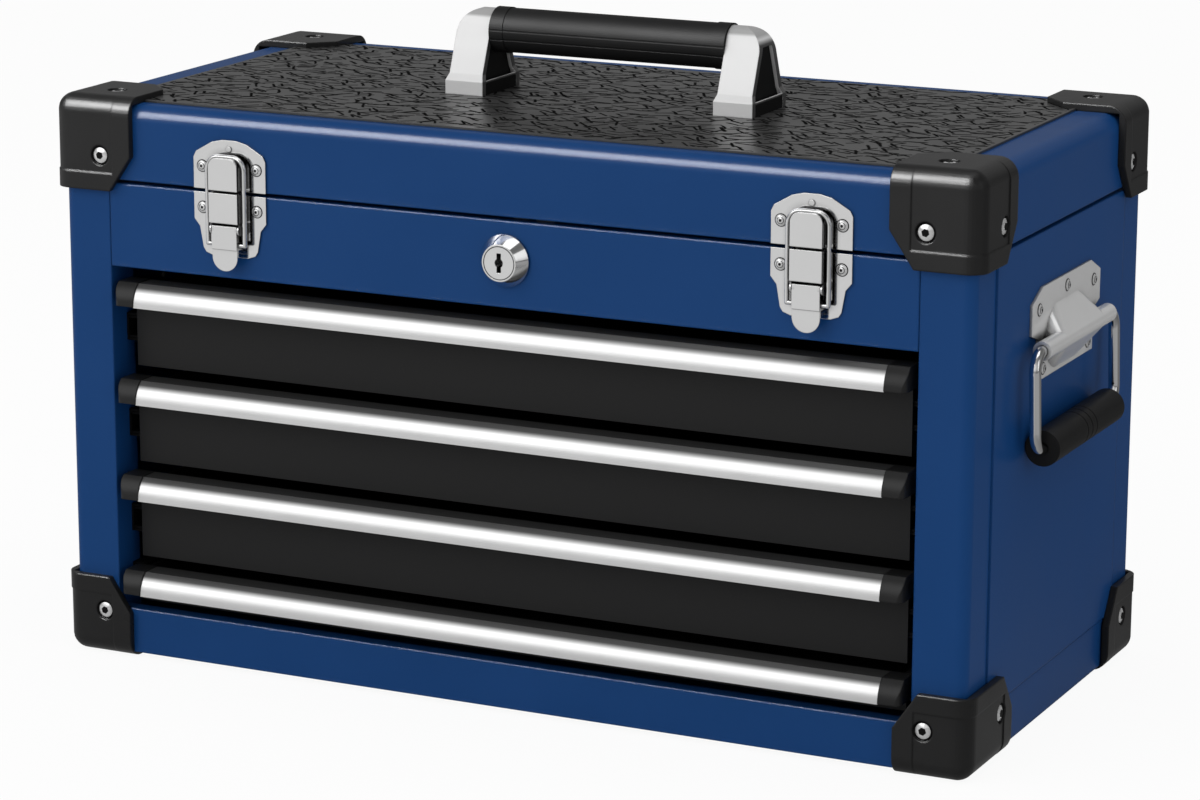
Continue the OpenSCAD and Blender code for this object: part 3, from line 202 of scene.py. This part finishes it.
SMUDGE_SCALE = 36.0
SMUDGE_DARK = 0.94
SMUDGE_PALE = 1.03
SMUDGE_WEIGHT = 0.6
SMEAR_NOISE = (0.35, 0.65)
EVEN_STREAKS = (60.0, 60.0, 60.0)
# Painted shade in narrow gaps: ambient occlusion between these levels darkens the colour to this
# share
GAP_SHUT = 0.35
GAP_OPEN = 0.88
PAINTED_GAP_SHADE = 0.06
# Painted shade on faces along X
SIDE_SHADE_FACING = (0.85, 0.95)
# Painted shade on upper faces, fading in over this height
TOP_SHADE_FACING = (0.5, 0.66)
TOP_SHADE_FADE = 0.004


def metal(name, color, rough, spread, streak=EVEN_STREAKS, depth=0.00002, metallic=1.0,
          soft=0.0, painted_gap_reach=0.0, painted_side_shade=0.0, top=0.0, above=0.0):
    """Smeared gloss and fine streaks that run along the smallest scale of streak.

    soft is the radius of the edges. The rest add painted shade to the colour: the width of a gap
    that ambient occlusion darkens, and the shares of the colour on faces along X and on upper
    faces from the height above."""
    made, t, shader, coords = start(name)
    smudge = t.noise(coords, SMUDGE_SCALE, detail=5.0, rough=0.6)
    lines = t.noise(t.stretch(coords, streak), 1.0, detail=4.0, rough=0.65)
    base = t.mix(smudge, shade(color, SMUDGE_DARK), shade(color, SMUDGE_PALE))
    # Painted shade: narrow gaps found by ambient occlusion are darkened
    if painted_gap_reach:
        share = t.add("ShaderNodeAmbientOcclusion", samples=GAP_SAMPLES, Distance=painted_gap_reach)
        base = t.mix(t.span(share.outputs["AO"], GAP_SHUT, GAP_OPEN), shade(color, PAINTED_GAP_SHADE),
                     base)
    if painted_side_shade or top:
        facing = t.split(t.add("ShaderNodeTexCoord").outputs["Normal"])
    # Painted shade: faces along X are darkened
    if painted_side_shade:
        edge = t.span(t.math("ABSOLUTE", facing["X"]), *SIDE_SHADE_FACING)
        base = t.mix(edge, base, shade(color, painted_side_shade))
    # Painted shade: upper faces above the given height are darkened
    if top:
        upper = t.math("MULTIPLY", t.span(facing["Z"], *TOP_SHADE_FACING),
                       t.span(t.split(coords)["Z"], above, above + TOP_SHADE_FADE))
        base = t.mix(upper, base, shade(color, top))
    t.link(base, shader.inputs["Base Color"])
    smear = t.math("ADD", t.math("MULTIPLY", smudge, SMUDGE_WEIGHT),
                   t.math("MULTIPLY", lines, 1 - SMUDGE_WEIGHT))
    t.link(t.span(smear, *SMEAR_NOISE, rough - spread, rough + spread),
           shader.inputs["Roughness"])
    shader.inputs["Metallic"].default_value = metallic
    edges = t.rounded(soft) if soft else None
    t.link(t.bump(lines, depth, edges), shader.inputs["Normal"])
    return made


# The lid's mat: short sunken strokes that lie every way, darkened by painted shade, and a plain
# rim

MAT_FRONT = -0.1129
MAT_SIDE = 0.236
MAT_RIM = (0.0022, 0.0016)
MAT_CLOUD_SCALE = 20.0
MAT_VARY = 0.2
MAT_SPREAD = 0.06
MAT_SPECULAR = 0.5
MAT_GRAIN_SCALE = 1800.0
MAT_GRAIN_DEPTH = 0.00003
WARP_SCALE = 60.0
WARP_REACH = 0.006
# Each layer of strokes: cells in a metre, and how far the layer is shifted
STROKE_LAYERS = ((82.0, 0.0), (95.0, 3.7), (70.0, 8.3))
STROKE_HALF_L = 0.0052
STROKE_HALF_W = 0.0006
STROKE_EDGE = 1.6
STROKE_TURN = 1.1
STROKE_PAINTED_SHADE = 0.2
STROKE_ROUGHER = 0.3
STROKE_DEPTH = 0.0006
STROKE_SOFT = 0.0006


def stroke_layer(t, coords, cells_in_metre, shift):
    """The height of one layer: 0 in its strokes and 1 beside them."""
    moved = t.add("ShaderNodeVectorMath", operation="ADD")
    t.link(coords, moved.inputs[0])
    moved.inputs[1].default_value = (shift, shift, 0.0)
    cells = t.add("ShaderNodeTexVoronoi", voronoi_dimensions="2D", Scale=cells_in_metre)
    t.link(moved.outputs[0], cells.inputs["Vector"])
    local = t.add("ShaderNodeVectorMath", operation="SUBTRACT")
    t.link(moved.outputs[0], local.inputs[0])
    t.link(cells.outputs["Position"], local.inputs[1])
    chance = t.add("ShaderNodeSeparateColor")
    t.link(cells.outputs["Color"], chance.inputs[0])
    turned = t.add("ShaderNodeVectorRotate", rotation_type="Z_AXIS")
    t.link(local.outputs[0], turned.inputs["Vector"])
    t.link(t.span(chance.outputs[0], 0.0, 1.0, -STROKE_TURN, STROKE_TURN),
           turned.inputs["Angle"])
    sides = t.split(turned.outputs[0])
    past = t.math("MAXIMUM", t.math("SUBTRACT", t.math("ABSOLUTE", sides["X"]), STROKE_HALF_L),
                  0.0)
    apart = t.math("SQRT", t.math("ADD", t.math("MULTIPLY", past, past),
                                  t.math("MULTIPLY", sides["Y"], sides["Y"])))
    return t.span(apart, STROKE_HALF_W, STROKE_EDGE * STROKE_HALF_W)


def tread(name, color, rough):
    made, t, shader, coords = start(name)
    warp = t.add("ShaderNodeTexNoise", Scale=WARP_SCALE, Detail=2.0)
    t.link(coords, warp.inputs["Vector"])
    push = t.add("ShaderNodeVectorMath", operation="MULTIPLY_ADD")
    t.link(warp.outputs["Color"], push.inputs[0])
    push.inputs[1].default_value = (WARP_REACH, WARP_REACH, 0.0)
    t.link(coords, push.inputs[2])
    place = t.split(coords)
    inside = t.math("MINIMUM", t.math("SUBTRACT", place["Y"], MAT_FRONT),
                    t.math("SUBTRACT", MAT_SIDE, t.math("ABSOLUTE", place["X"])))
    height = None
    for cells_in_metre, shift in STROKE_LAYERS:
        layer = stroke_layer(t, push.outputs[0], cells_in_metre, shift)
        height = layer if height is None else t.math("MINIMUM", height, layer)
    height = t.math("MAXIMUM", height, t.span(inside, *MAT_RIM))
    cloud = t.noise(coords, MAT_CLOUD_SCALE, detail=3.0)
    base = t.mix(cloud, shade(color, 1 - MAT_VARY), shade(color, 1 + MAT_VARY))
    # Painted shade: the strokes are darker than the plateaus
    t.link(t.mix(height, shade(color, STROKE_PAINTED_SHADE), base), shader.inputs["Base Color"])
    gloss = t.span(cloud, *MIDDLE_NOISE, rough - MAT_SPREAD, rough + MAT_SPREAD)
    t.link(t.math("ADD", gloss, t.span(height, 0.0, 1.0, STROKE_ROUGHER, 0.0)),
           shader.inputs["Roughness"])
    t.link(t.span(height, 0.0, 1.0, 0.0, MAT_SPECULAR), shader.inputs["Specular IOR Level"])
    low = t.bump(height, STROKE_DEPTH, t.rounded(STROKE_SOFT))
    fine = t.noise(coords, MAT_GRAIN_SCALE, detail=3.0)
    t.link(t.bump(fine, MAT_GRAIN_DEPTH, low), shader.inputs["Normal"])
    return made


# The mould lines of the carry grip, whose axis runs in X

GRIP_Y = -0.0009
GRIP_Z = 0.3395
GRIP_R = 0.0124
SEAM_DEGREES = (5.0, -19.0)
SEAM_FROM = 0.0003
SEAM_TO = 0.0006
SEAM_DEPTH = 0.0002


def seamed(made):
    """Adds the mould lines to a finished material."""
    t = Tree(made.node_tree)
    shader = next(n for n in made.node_tree.nodes if n.type == "BSDF_PRINCIPLED")
    place = t.split(t.add("ShaderNodeTexCoord").outputs["Object"])
    angle = t.math("ARCTAN2", t.math("SUBTRACT", place["Z"], GRIP_Z),
                   t.math("SUBTRACT", GRIP_Y, place["Y"]))
    near = None
    for degrees in SEAM_DEGREES:
        off = t.math("ABSOLUTE", t.math("SUBTRACT", angle, math.radians(degrees)))
        near = off if near is None else t.math("MINIMUM", near, off)
    line = t.span(near, SEAM_FROM / GRIP_R, SEAM_TO / GRIP_R)
    below = shader.inputs["Normal"].links[0].from_socket
    t.link(t.bump(line, SEAM_DEPTH, below), shader.inputs["Normal"])
    return made


# The materials and the solids that wear them

BLUE = (0.0075, 0.0503, 0.177)
BLACK = (0.012, 0.012, 0.0123)
DEEP_BLACK = shade(BLACK, 0.4)
PLASTIC = (0.013, 0.013, 0.0132)
MAT_GREY = (0.042, 0.042, 0.042)
PLATE_GREY = (0.80, 0.80, 0.80)
BRACKET_GREY = (0.84, 0.84, 0.84)
STRIP_GREY = (0.74, 0.74, 0.74)
ZINC_GREY = (0.6, 0.61, 0.62)

blue_paint = coated("blue_paint", BLUE, rough=0.34, grain=0.0009, depth=0.00003, specular=0.035,
                    coat=0.13, soft=0.0018)
drawer_paint = coated("drawer_paint", BLACK, rough=0.48, grain=0.0008, depth=0.00004,
                      specular=0.25)
guard_plastic = coated("guard_plastic", PLASTIC, rough=0.32, grain=0.0006, depth=0.00005,
                       specular=0.19, soft=0.0014)
insert_plastic = coated("insert_plastic", DEEP_BLACK, rough=0.5, grain=0.0006, depth=0.00005,
                        specular=0.12)
corner_plastic = coated("corner_plastic", PLASTIC, rough=0.32, grain=0.0006, depth=0.00005,
                        specular=0.19)
cap_plastic = coated("cap_plastic", PLASTIC, rough=0.34, grain=0.0006, depth=0.00004,
                     specular=0.25, soft=0.001)
slide_black = coated("slide_black", DEEP_BLACK, rough=0.5, grain=0.0006, depth=0.00004,
                     specular=0.08)
side_rubber = coated("side_rubber", BLACK, rough=0.42, grain=0.0005, depth=0.00007,
                     specular=0.09, soft=0.001)
grip_rubber = seamed(coated("grip_rubber", BLACK, rough=0.5, grain=0.0005, depth=0.00007,
                            specular=0.06))
mat_rubber = tread("mat_rubber", MAT_GREY, rough=0.32)
# The plates, brackets and fasteners get painted shade in their narrow gaps
plate = metal("bright_plate", PLATE_GREY, rough=0.09, spread=0.03, soft=0.0005, painted_gap_reach=0.005)
bracket = metal("bracket_plate", BRACKET_GREY, rough=0.2, spread=0.05, metallic=0.45,
                soft=0.0008, painted_gap_reach=0.005)
# The strap carries painted shade: darker faces along X and a darker upper bend
strap = metal("strap_plate", BRACKET_GREY, rough=0.4, spread=0.05, streak=(8.0, 500.0, 500.0),
              metallic=0.15, soft=0.0008, painted_side_shade=0.08, top=0.5, above=0.335)
steel = metal("fastener_steel", PLATE_GREY, rough=0.16, spread=0.05, metallic=0.6, soft=0.0004,
              painted_gap_reach=0.003)
# Painted shade: the dark pieces in sockets, recesses, on rivets and round the plug wear this
painted_shadow = coated("painted_shade_black", DEEP_BLACK, rough=0.5, grain=0.0006, depth=0.00002,
                specular=0.08)
# The strip's upper faces carry painted shade
strip = metal("anodised_strip", STRIP_GREY, rough=0.34, spread=0.04,
              streak=(4.0, 900.0, 900.0), depth=0.00001, metallic=0.65, top=0.14)
zinc = metal("zinc_steel", ZINC_GREY, rough=0.34, spread=0.08, metallic=0.6)

DRAWERS = range(1, 5)
LOOKS = [
    (blue_paint, ["base_pan", "front_posts", "rear_posts", "side_panel_left",
                  "side_panel_right", "back_panel", "lock_panel", "top_tray", "lid_shell"]),
    (guard_plastic, ["bottom_guards_front", "bottom_guards_rear", "top_guards_front",
                     "top_guards_rear"]),
    (insert_plastic, ["handle_inserts"]),
    (grip_rubber, ["carry_grip"]),
    (side_rubber, ["side_grip_left", "side_grip_right"]),
    (mat_rubber, ["lid_mat"]),
    (strap, ["handle_posts"]),
    (bracket, ["handle_brackets"]),
    (steel, ["cabinet_fasteners", "lid_fasteners"]),
    (plate, ["lock_housing", "latch_bases", "latch_keepers", "lock_plug", "latch_lever_left",
             "latch_lever_right", "latch_bail_left", "latch_bail_right", "side_bail_left",
             "side_bail_right"]),
    (slide_black, ["cabinet_slides"] + [f"drawer_slides_{k}" for k in DRAWERS]),
    (zinc, ["hinge_leaf_cabinet", "hinge_pin", "lock_nut", "handle_core", "hinge_leaf_lid",
            "lid_striker", "lock_cam"]),
    (drawer_paint, [f"drawer_pan_{k}" for k in DRAWERS]),
    (cap_plastic, [f"pull_{part}_{k}" for k in DRAWERS for part in ("channel", "caps")]),
    (strip, [f"pull_strip_{k}" for k in DRAWERS]),
]
for look, names in LOOKS:
    for name in names:
        node = nodes[name]
        node.data.materials.clear()
        node.data.materials.append(look)


# Softened edges on the solids

EDGE_SEGMENTS = 2
EDGE_ANGLE = math.radians(40)
EDGE_WIDTHS = {
    0.0004: ["base_pan", "front_posts", "rear_posts", "side_panel_left", "side_panel_right",
             "back_panel", "lock_panel", "latch_bases", "latch_keepers", "handle_brackets"],
    0.0006: ["handle_posts", "handle_inserts"],
}
for width, names in EDGE_WIDTHS.items():
    for name in names:
        edge = nodes[name].modifiers.new("edge", "BEVEL")
        edge.width = width
        edge.segments = EDGE_SEGMENTS
        edge.limit_method = "ANGLE"
        edge.angle_limit = EDGE_ANGLE
        edge.harden_normals = False


# Shapes for the added pieces

def spokes(outward, count):
    """Directions spread evenly round the axis outward."""
    side = outward.orthogonal().normalized()
    across = outward.cross(side)
    angles = [math.tau * n / count for n in range(count)]
    return [math.cos(angle) * side + math.sin(angle) * across for angle in angles]


def disc(points, faces, middle, outward, radius, count):
    first = len(points)
    points += [middle + radius * spoke for spoke in spokes(outward, count)]
    faces.append(tuple(range(first, first + count)))


def ring(points, faces, middle, outward, radius, thick, count=20, round_count=6):
    first = len(points)
    for spoke in spokes(outward, count):
        for m in range(round_count):
            angle = math.tau * m / round_count
            points.append(middle + (radius + thick * math.cos(angle)) * spoke
                          + thick * math.sin(angle) * outward)
    for n in range(count):
        for m in range(round_count):
            a, b = n * round_count, (n + 1) % count * round_count
            c = (m + 1) % round_count
            faces.append((first + a + m, first + b + m, first + b + c, first + a + c))


def piece(name, points, faces, look):
    """A new object with one material."""
    mesh = bpy.data.meshes.new(name)
    mesh.from_pydata(points, [], faces)
    mesh.materials.append(look)
    made = bpy.data.objects.new(name, mesh)
    scene.collection.objects.link(made)
    return made


# Painted shade as dark pieces: in the guard screws' sockets and recesses, on the rivets' dimples
# and rings, round the plug

SAME_PLACE_DIGITS = 6
SCREW_FROM_R = 0.0038
SOCKET_R = 0.0021
SOCKET_UP = 0.00003
SOCKET_SIDES = 6
RECESS_R = 0.0048
RECESS_DOWN = 0.0017
RECESS_THICK = 0.0004
DIMPLE_R = 0.0007
DIMPLE_UP = 0.00005
DIMPLE_SIDES = 12
RIVET_FOOT_DOWN = 0.0013
RIVET_FOOT_THICK = 0.00025
RIVET_STEP_R = 0.0017
RIVET_STEP_DOWN = 0.00037
RIVET_STEP_THICK = 0.00016
PLUG_RING_R = 0.00858
PLUG_RING_THICK = 0.00018
PLUG_RING_SIDES = 48


def fasteners(node):
    """The loose fasteners of a node: (middle of the head's outer face, outward, head's radius)."""
    places = [tuple(round(c, SAME_PLACE_DIGITS) for c in v.co) for v in node.data.vertices]
    group = {place: place for place in places}

    def root(place):
        while group[place] != place:
            group[place] = group[group[place]]
            place = group[place]
        return place

    for edge in node.data.edges:
        a, b = edge.vertices
        group[root(places[a])] = root(places[b])
    loose = {}
    for place in group:
        loose.setdefault(root(place), []).append(place)
    found = []
    for points in loose.values():
        low = [min(p[i] for p in points) for i in range(3)]
        high = [max(p[i] for p in points) for i in range(3)]
        size = [b - a for a, b in zip(low, high)]
        # A fastener is round, so its axis is the side whose length differs from the other two
        apart = [min(abs(size[i] - size[i - 1]), abs(size[i] - size[i - 2])) for i in range(3)]
        axis = apart.index(max(apart))
        middle = [(a + b) / 2 for a, b in zip(low, high)]
        sign = 1 if axis == 2 or middle[axis] > 0 else -1
        middle[axis] = high[axis] if sign > 0 else low[axis]
        outward = Vector([sign if i == axis else 0 for i in range(3)])
        found.append((Vector(middle), outward, size[axis - 1] / 2))
    return found


for name, body in (("cabinet_fasteners", "cabinet"), ("lid_fasteners", "lid")):
    points, faces = [], []
    if body == "cabinet":
        low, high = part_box("lock_housing")
        ring(points, faces, Vector(((low[0] + high[0]) / 2, low[1], (low[2] + high[2]) / 2)),
             Vector((0, -1, 0)), PLUG_RING_R, PLUG_RING_THICK, PLUG_RING_SIDES)
    for middle, outward, radius in fasteners(nodes[name]):
        if radius > SCREW_FROM_R:
            disc(points, faces, middle + SOCKET_UP * outward, outward, SOCKET_R, SOCKET_SIDES)
            ring(points, faces, middle - RECESS_DOWN * outward, outward, RECESS_R, RECESS_THICK)
        else:
            disc(points, faces, middle + DIMPLE_UP * outward, outward, DIMPLE_R, DIMPLE_SIDES)
            ring(points, faces, middle - RIVET_FOOT_DOWN * outward, outward, radius,
                 RIVET_FOOT_THICK)
            ring(points, faces, middle - RIVET_STEP_DOWN * outward, outward, RIVET_STEP_R,
                 RIVET_STEP_THICK)
    # These dark pieces are painted shade
    painted_shade_marks = piece(name + "_marks", points, faces, painted_shadow)
    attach(painted_shade_marks, body)


# Thin ball-shaped plates over the guards' corners, where the hollow's square corner comes through

STEEL_SIDE = 0.26
STEEL_FRONT = -0.1254
STEEL_REAR = 0.1276
STEEL_TOP = 0.305
STEEL_LOW = 0.003
BALL_R = 0.0095
BALL_IN = 0.006
BALL_IN_TOP = 0.0055
BALL_IN_LOW = 0.0065
TOP_REACH = math.radians(17)
LOW_REACH = math.radians(24)
PLATE_PROUD = 0.00003
PLATE_THICK = 0.0003
PLATE_SIDES = 32
PLATE_STEPS = 5
SHARP_ANGLE = math.radians(40)


def ball_plate(points, faces, middle, outward, reach):
    """A closed thin piece of a ball's skin; reach is the angle from outward to its rim."""
    outer, inner = BALL_R + PLATE_PROUD, BALL_R - PLATE_THICK
    leans = [reach * (k + 1) / PLATE_STEPS for k in range(PLATE_STEPS)]
    rows = [(outer, lean) for lean in leans] + [(inner, lean) for lean in reversed(leans)]
    first = len(points)
    for radius, lean in rows:
        points += [middle + radius * (math.cos(lean) * outward + math.sin(lean) * spoke)
                   for spoke in spokes(outward, PLATE_SIDES)]
    last = len(points)
    points += [middle + outer * outward, middle + inner * outward]
    for n in range(PLATE_SIDES):
        m = (n + 1) % PLATE_SIDES
        faces.append((last, first + n, first + m))
        for a in range(first, last - PLATE_SIDES, PLATE_SIDES):
            b = a + PLATE_SIDES
            faces.append((a + n, b + n, b + m, a + m))
        faces.append((last + 1, last - PLATE_SIDES + m, last - PLATE_SIDES + n))


for name, body, up, level, depth, reach in (
        ("top_guard_corners", "lid", 1, STEEL_TOP, BALL_IN_TOP, TOP_REACH),
        ("bottom_guard_corners", "cabinet", -1, STEEL_LOW, BALL_IN_LOW, LOW_REACH)):
    points, faces = [], []
    for x in (-STEEL_SIDE, STEEL_SIDE):
        for y in (STEEL_FRONT, STEEL_REAR):
            inwards = Vector((-math.copysign(BALL_IN, x), -math.copysign(BALL_IN, y),
                              -up * depth))
            ball_plate(points, faces, Vector((x, y, level)) + inwards, -inwards.normalized(),
                       reach)
    corners = piece(name, points, faces, corner_plastic)
    corners.data.shade_smooth()
    corners.data.set_sharp_from_angle(angle=SHARP_ANGLE)
    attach(corners, body)


# Floor: white to the camera, grey to the lamps, and of its own level to metal and gloss

FLOOR = 12.0
FLOOR_COLOR = (0.9, 0.9, 0.9, 1)
FLOOR_SEEN = 0.93
# How bright gloss sees the floor: from, to, level at from, level at to
FLOOR_BY_DISTANCE = (0.4, 1.1, 0.4, 0.72)
FLOOR_BY_Y = (-0.1, 0.4, 1.0, 0.45)
FLOOR_BY_X = (0.0, 0.5, 1.0, 0.5)
WHITE = (1, 1, 1, 1)

floor_mat = bpy.data.materials.new("floor")
floor_mat.use_nodes = True
floor_mat.node_tree.nodes.clear()
t = Tree(floor_mat.node_tree)
rays = t.add("ShaderNodeLightPath")
diffuse = t.add("ShaderNodeBsdfDiffuse", Color=FLOOR_COLOR)
glow = t.add("ShaderNodeEmission", Color=WHITE)
spot = t.add("ShaderNodeNewGeometry").outputs["Position"]
far = t.add("ShaderNodeVectorMath", operation="LENGTH")
t.link(spot, far.inputs[0])
place = t.split(spot)
level = t.math("MULTIPLY", t.span(far.outputs["Value"], *FLOOR_BY_DISTANCE),
               t.math("MULTIPLY", t.span(place["Y"], *FLOOR_BY_Y),
                      t.span(place["X"], *FLOOR_BY_X)))
mirrored = rays.outputs["Is Glossy Ray"]
t.link(t.math("ADD", t.math("MULTIPLY", mirrored, level), t.math("SUBTRACT", 1.0, mirrored)),
       glow.inputs["Strength"])
seen = t.math("MULTIPLY", rays.outputs["Is Camera Ray"], FLOOR_SEEN)
blend = t.add("ShaderNodeMixShader")
t.link(t.math("MAXIMUM", seen, mirrored), blend.inputs[0])
t.link(diffuse.outputs[0], blend.inputs[1])
t.link(glow.outputs[0], blend.inputs[2])
t.link(blend.outputs[0], t.add("ShaderNodeOutputMaterial").inputs[0])

floor = piece("floor", [(-FLOOR, -FLOOR, 0), (FLOOR, -FLOOR, 0), (FLOOR, FLOOR, 0),
                        (-FLOOR, FLOOR, 0)], [(0, 1, 2, 3)], floor_mat)


# World: white to the camera, even light to the object, and a shaded room to metal and gloss

WORLD_LIGHT = 0.6
# The room's level by height, and how much darker it is behind the object and on its right
ROOM_BY_Z = (-0.3, 1.0, 0.0, 1.0)
ROOM_STOPS = [(0.0, 0.5), (0.2, 0.4), (0.3, 0.3), (0.42, 0.8), (0.6, 0.85), (0.8, 0.4),
              (1.0, 0.3)]
ROOM_BY_Y = (-0.6, 0.6, 1.0, 0.4)
ROOM_BY_X = (0.1, 0.7, 1.0, 0.5)
UNPLACED_STOP = 0.5

world = bpy.data.worlds.new("world")
scene.world = world
world.use_nodes = True
world.node_tree.nodes.clear()
t = Tree(world.node_tree)
rays = t.add("ShaderNodeLightPath")
even = t.add("ShaderNodeBackground", Color=WHITE, Strength=WORLD_LIGHT)
white = t.add("ShaderNodeBackground", Color=WHITE, Strength=1.0)
room = t.add("ShaderNodeBackground", Strength=1.0)
toward = t.split(t.add("ShaderNodeTexCoord").outputs["Generated"])
ramp = t.add("ShaderNodeValToRGB")
t.link(t.span(toward["Z"], *ROOM_BY_Z), ramp.inputs[0])
while len(ramp.color_ramp.elements) < len(ROOM_STOPS):
    ramp.color_ramp.elements.new(UNPLACED_STOP)
for element, (position, level) in zip(ramp.color_ramp.elements, ROOM_STOPS):
    element.position = position
    element.color = (level, level, level, 1)
beside = t.math("MULTIPLY", t.span(toward["Y"], *ROOM_BY_Y), t.span(toward["X"], *ROOM_BY_X))
t.link(t.mix(beside, (0.0, 0.0, 0.0), ramp.outputs[0]), room.inputs["Color"])
first = t.add("ShaderNodeMixShader")
second = t.add("ShaderNodeMixShader")
t.link(rays.outputs["Is Glossy Ray"], first.inputs[0])
t.link(even.outputs[0], first.inputs[1])
t.link(room.outputs[0], first.inputs[2])
t.link(rays.outputs["Is Camera Ray"], second.inputs[0])
t.link(first.outputs[0], second.inputs[1])
t.link(white.outputs[0], second.inputs[2])
t.link(second.outputs[0], t.add("ShaderNodeOutputWorld").inputs[0])


# Lamps

AIM = Vector((0.0, 0.0, 0.16))


def lamp(name, place, size, watts):
    """An area lamp that looks at the object's middle."""
    data = bpy.data.lights.new(name, "AREA")
    data.shape = "RECTANGLE"
    data.size, data.size_y = size
    data.energy = watts
    made = bpy.data.objects.new(name, data)
    made.location = place
    made.rotation_mode = "QUATERNION"
    made.rotation_quaternion = (AIM - Vector(place)).to_track_quat("-Z", "Y")
    scene.collection.objects.link(made)
    return made


lamp("key", place=(-1.4, -2.4, 1.8), size=(2.8, 1.8), watts=25.0)
lamp("top", place=(0.2, -0.2, 2.6), size=(2.2, 1.4), watts=12.0)
lamp("side", place=(2.4, -0.6, 1.1), size=(0.8, 1.6), watts=3.0)

# A softbox that only shows as the long highlight on the rounded edges of paint, plastic and
# rubber. Its long side lies level with the box's front.
softbox = lamp("softbox", place=(-1.35, -2.2, 2.5), size=(3.0, 1.7), watts=780.0)
softbox.visible_diffuse = False
away = (softbox.location - AIM).normalized()
along = (Vector((1, 0, 0)) - away.x * away).normalized()
softbox.rotation_quaternion = Matrix((along, away.cross(along), away)).transposed().to_quaternion()
glints = bpy.data.collections.new("glints")
for look, names in LOOKS:
    if look in (blue_paint, guard_plastic, grip_rubber, side_rubber):
        for name in names:
            glints.objects.link(nodes[name])
softbox.light_linking.receiver_collection = glints
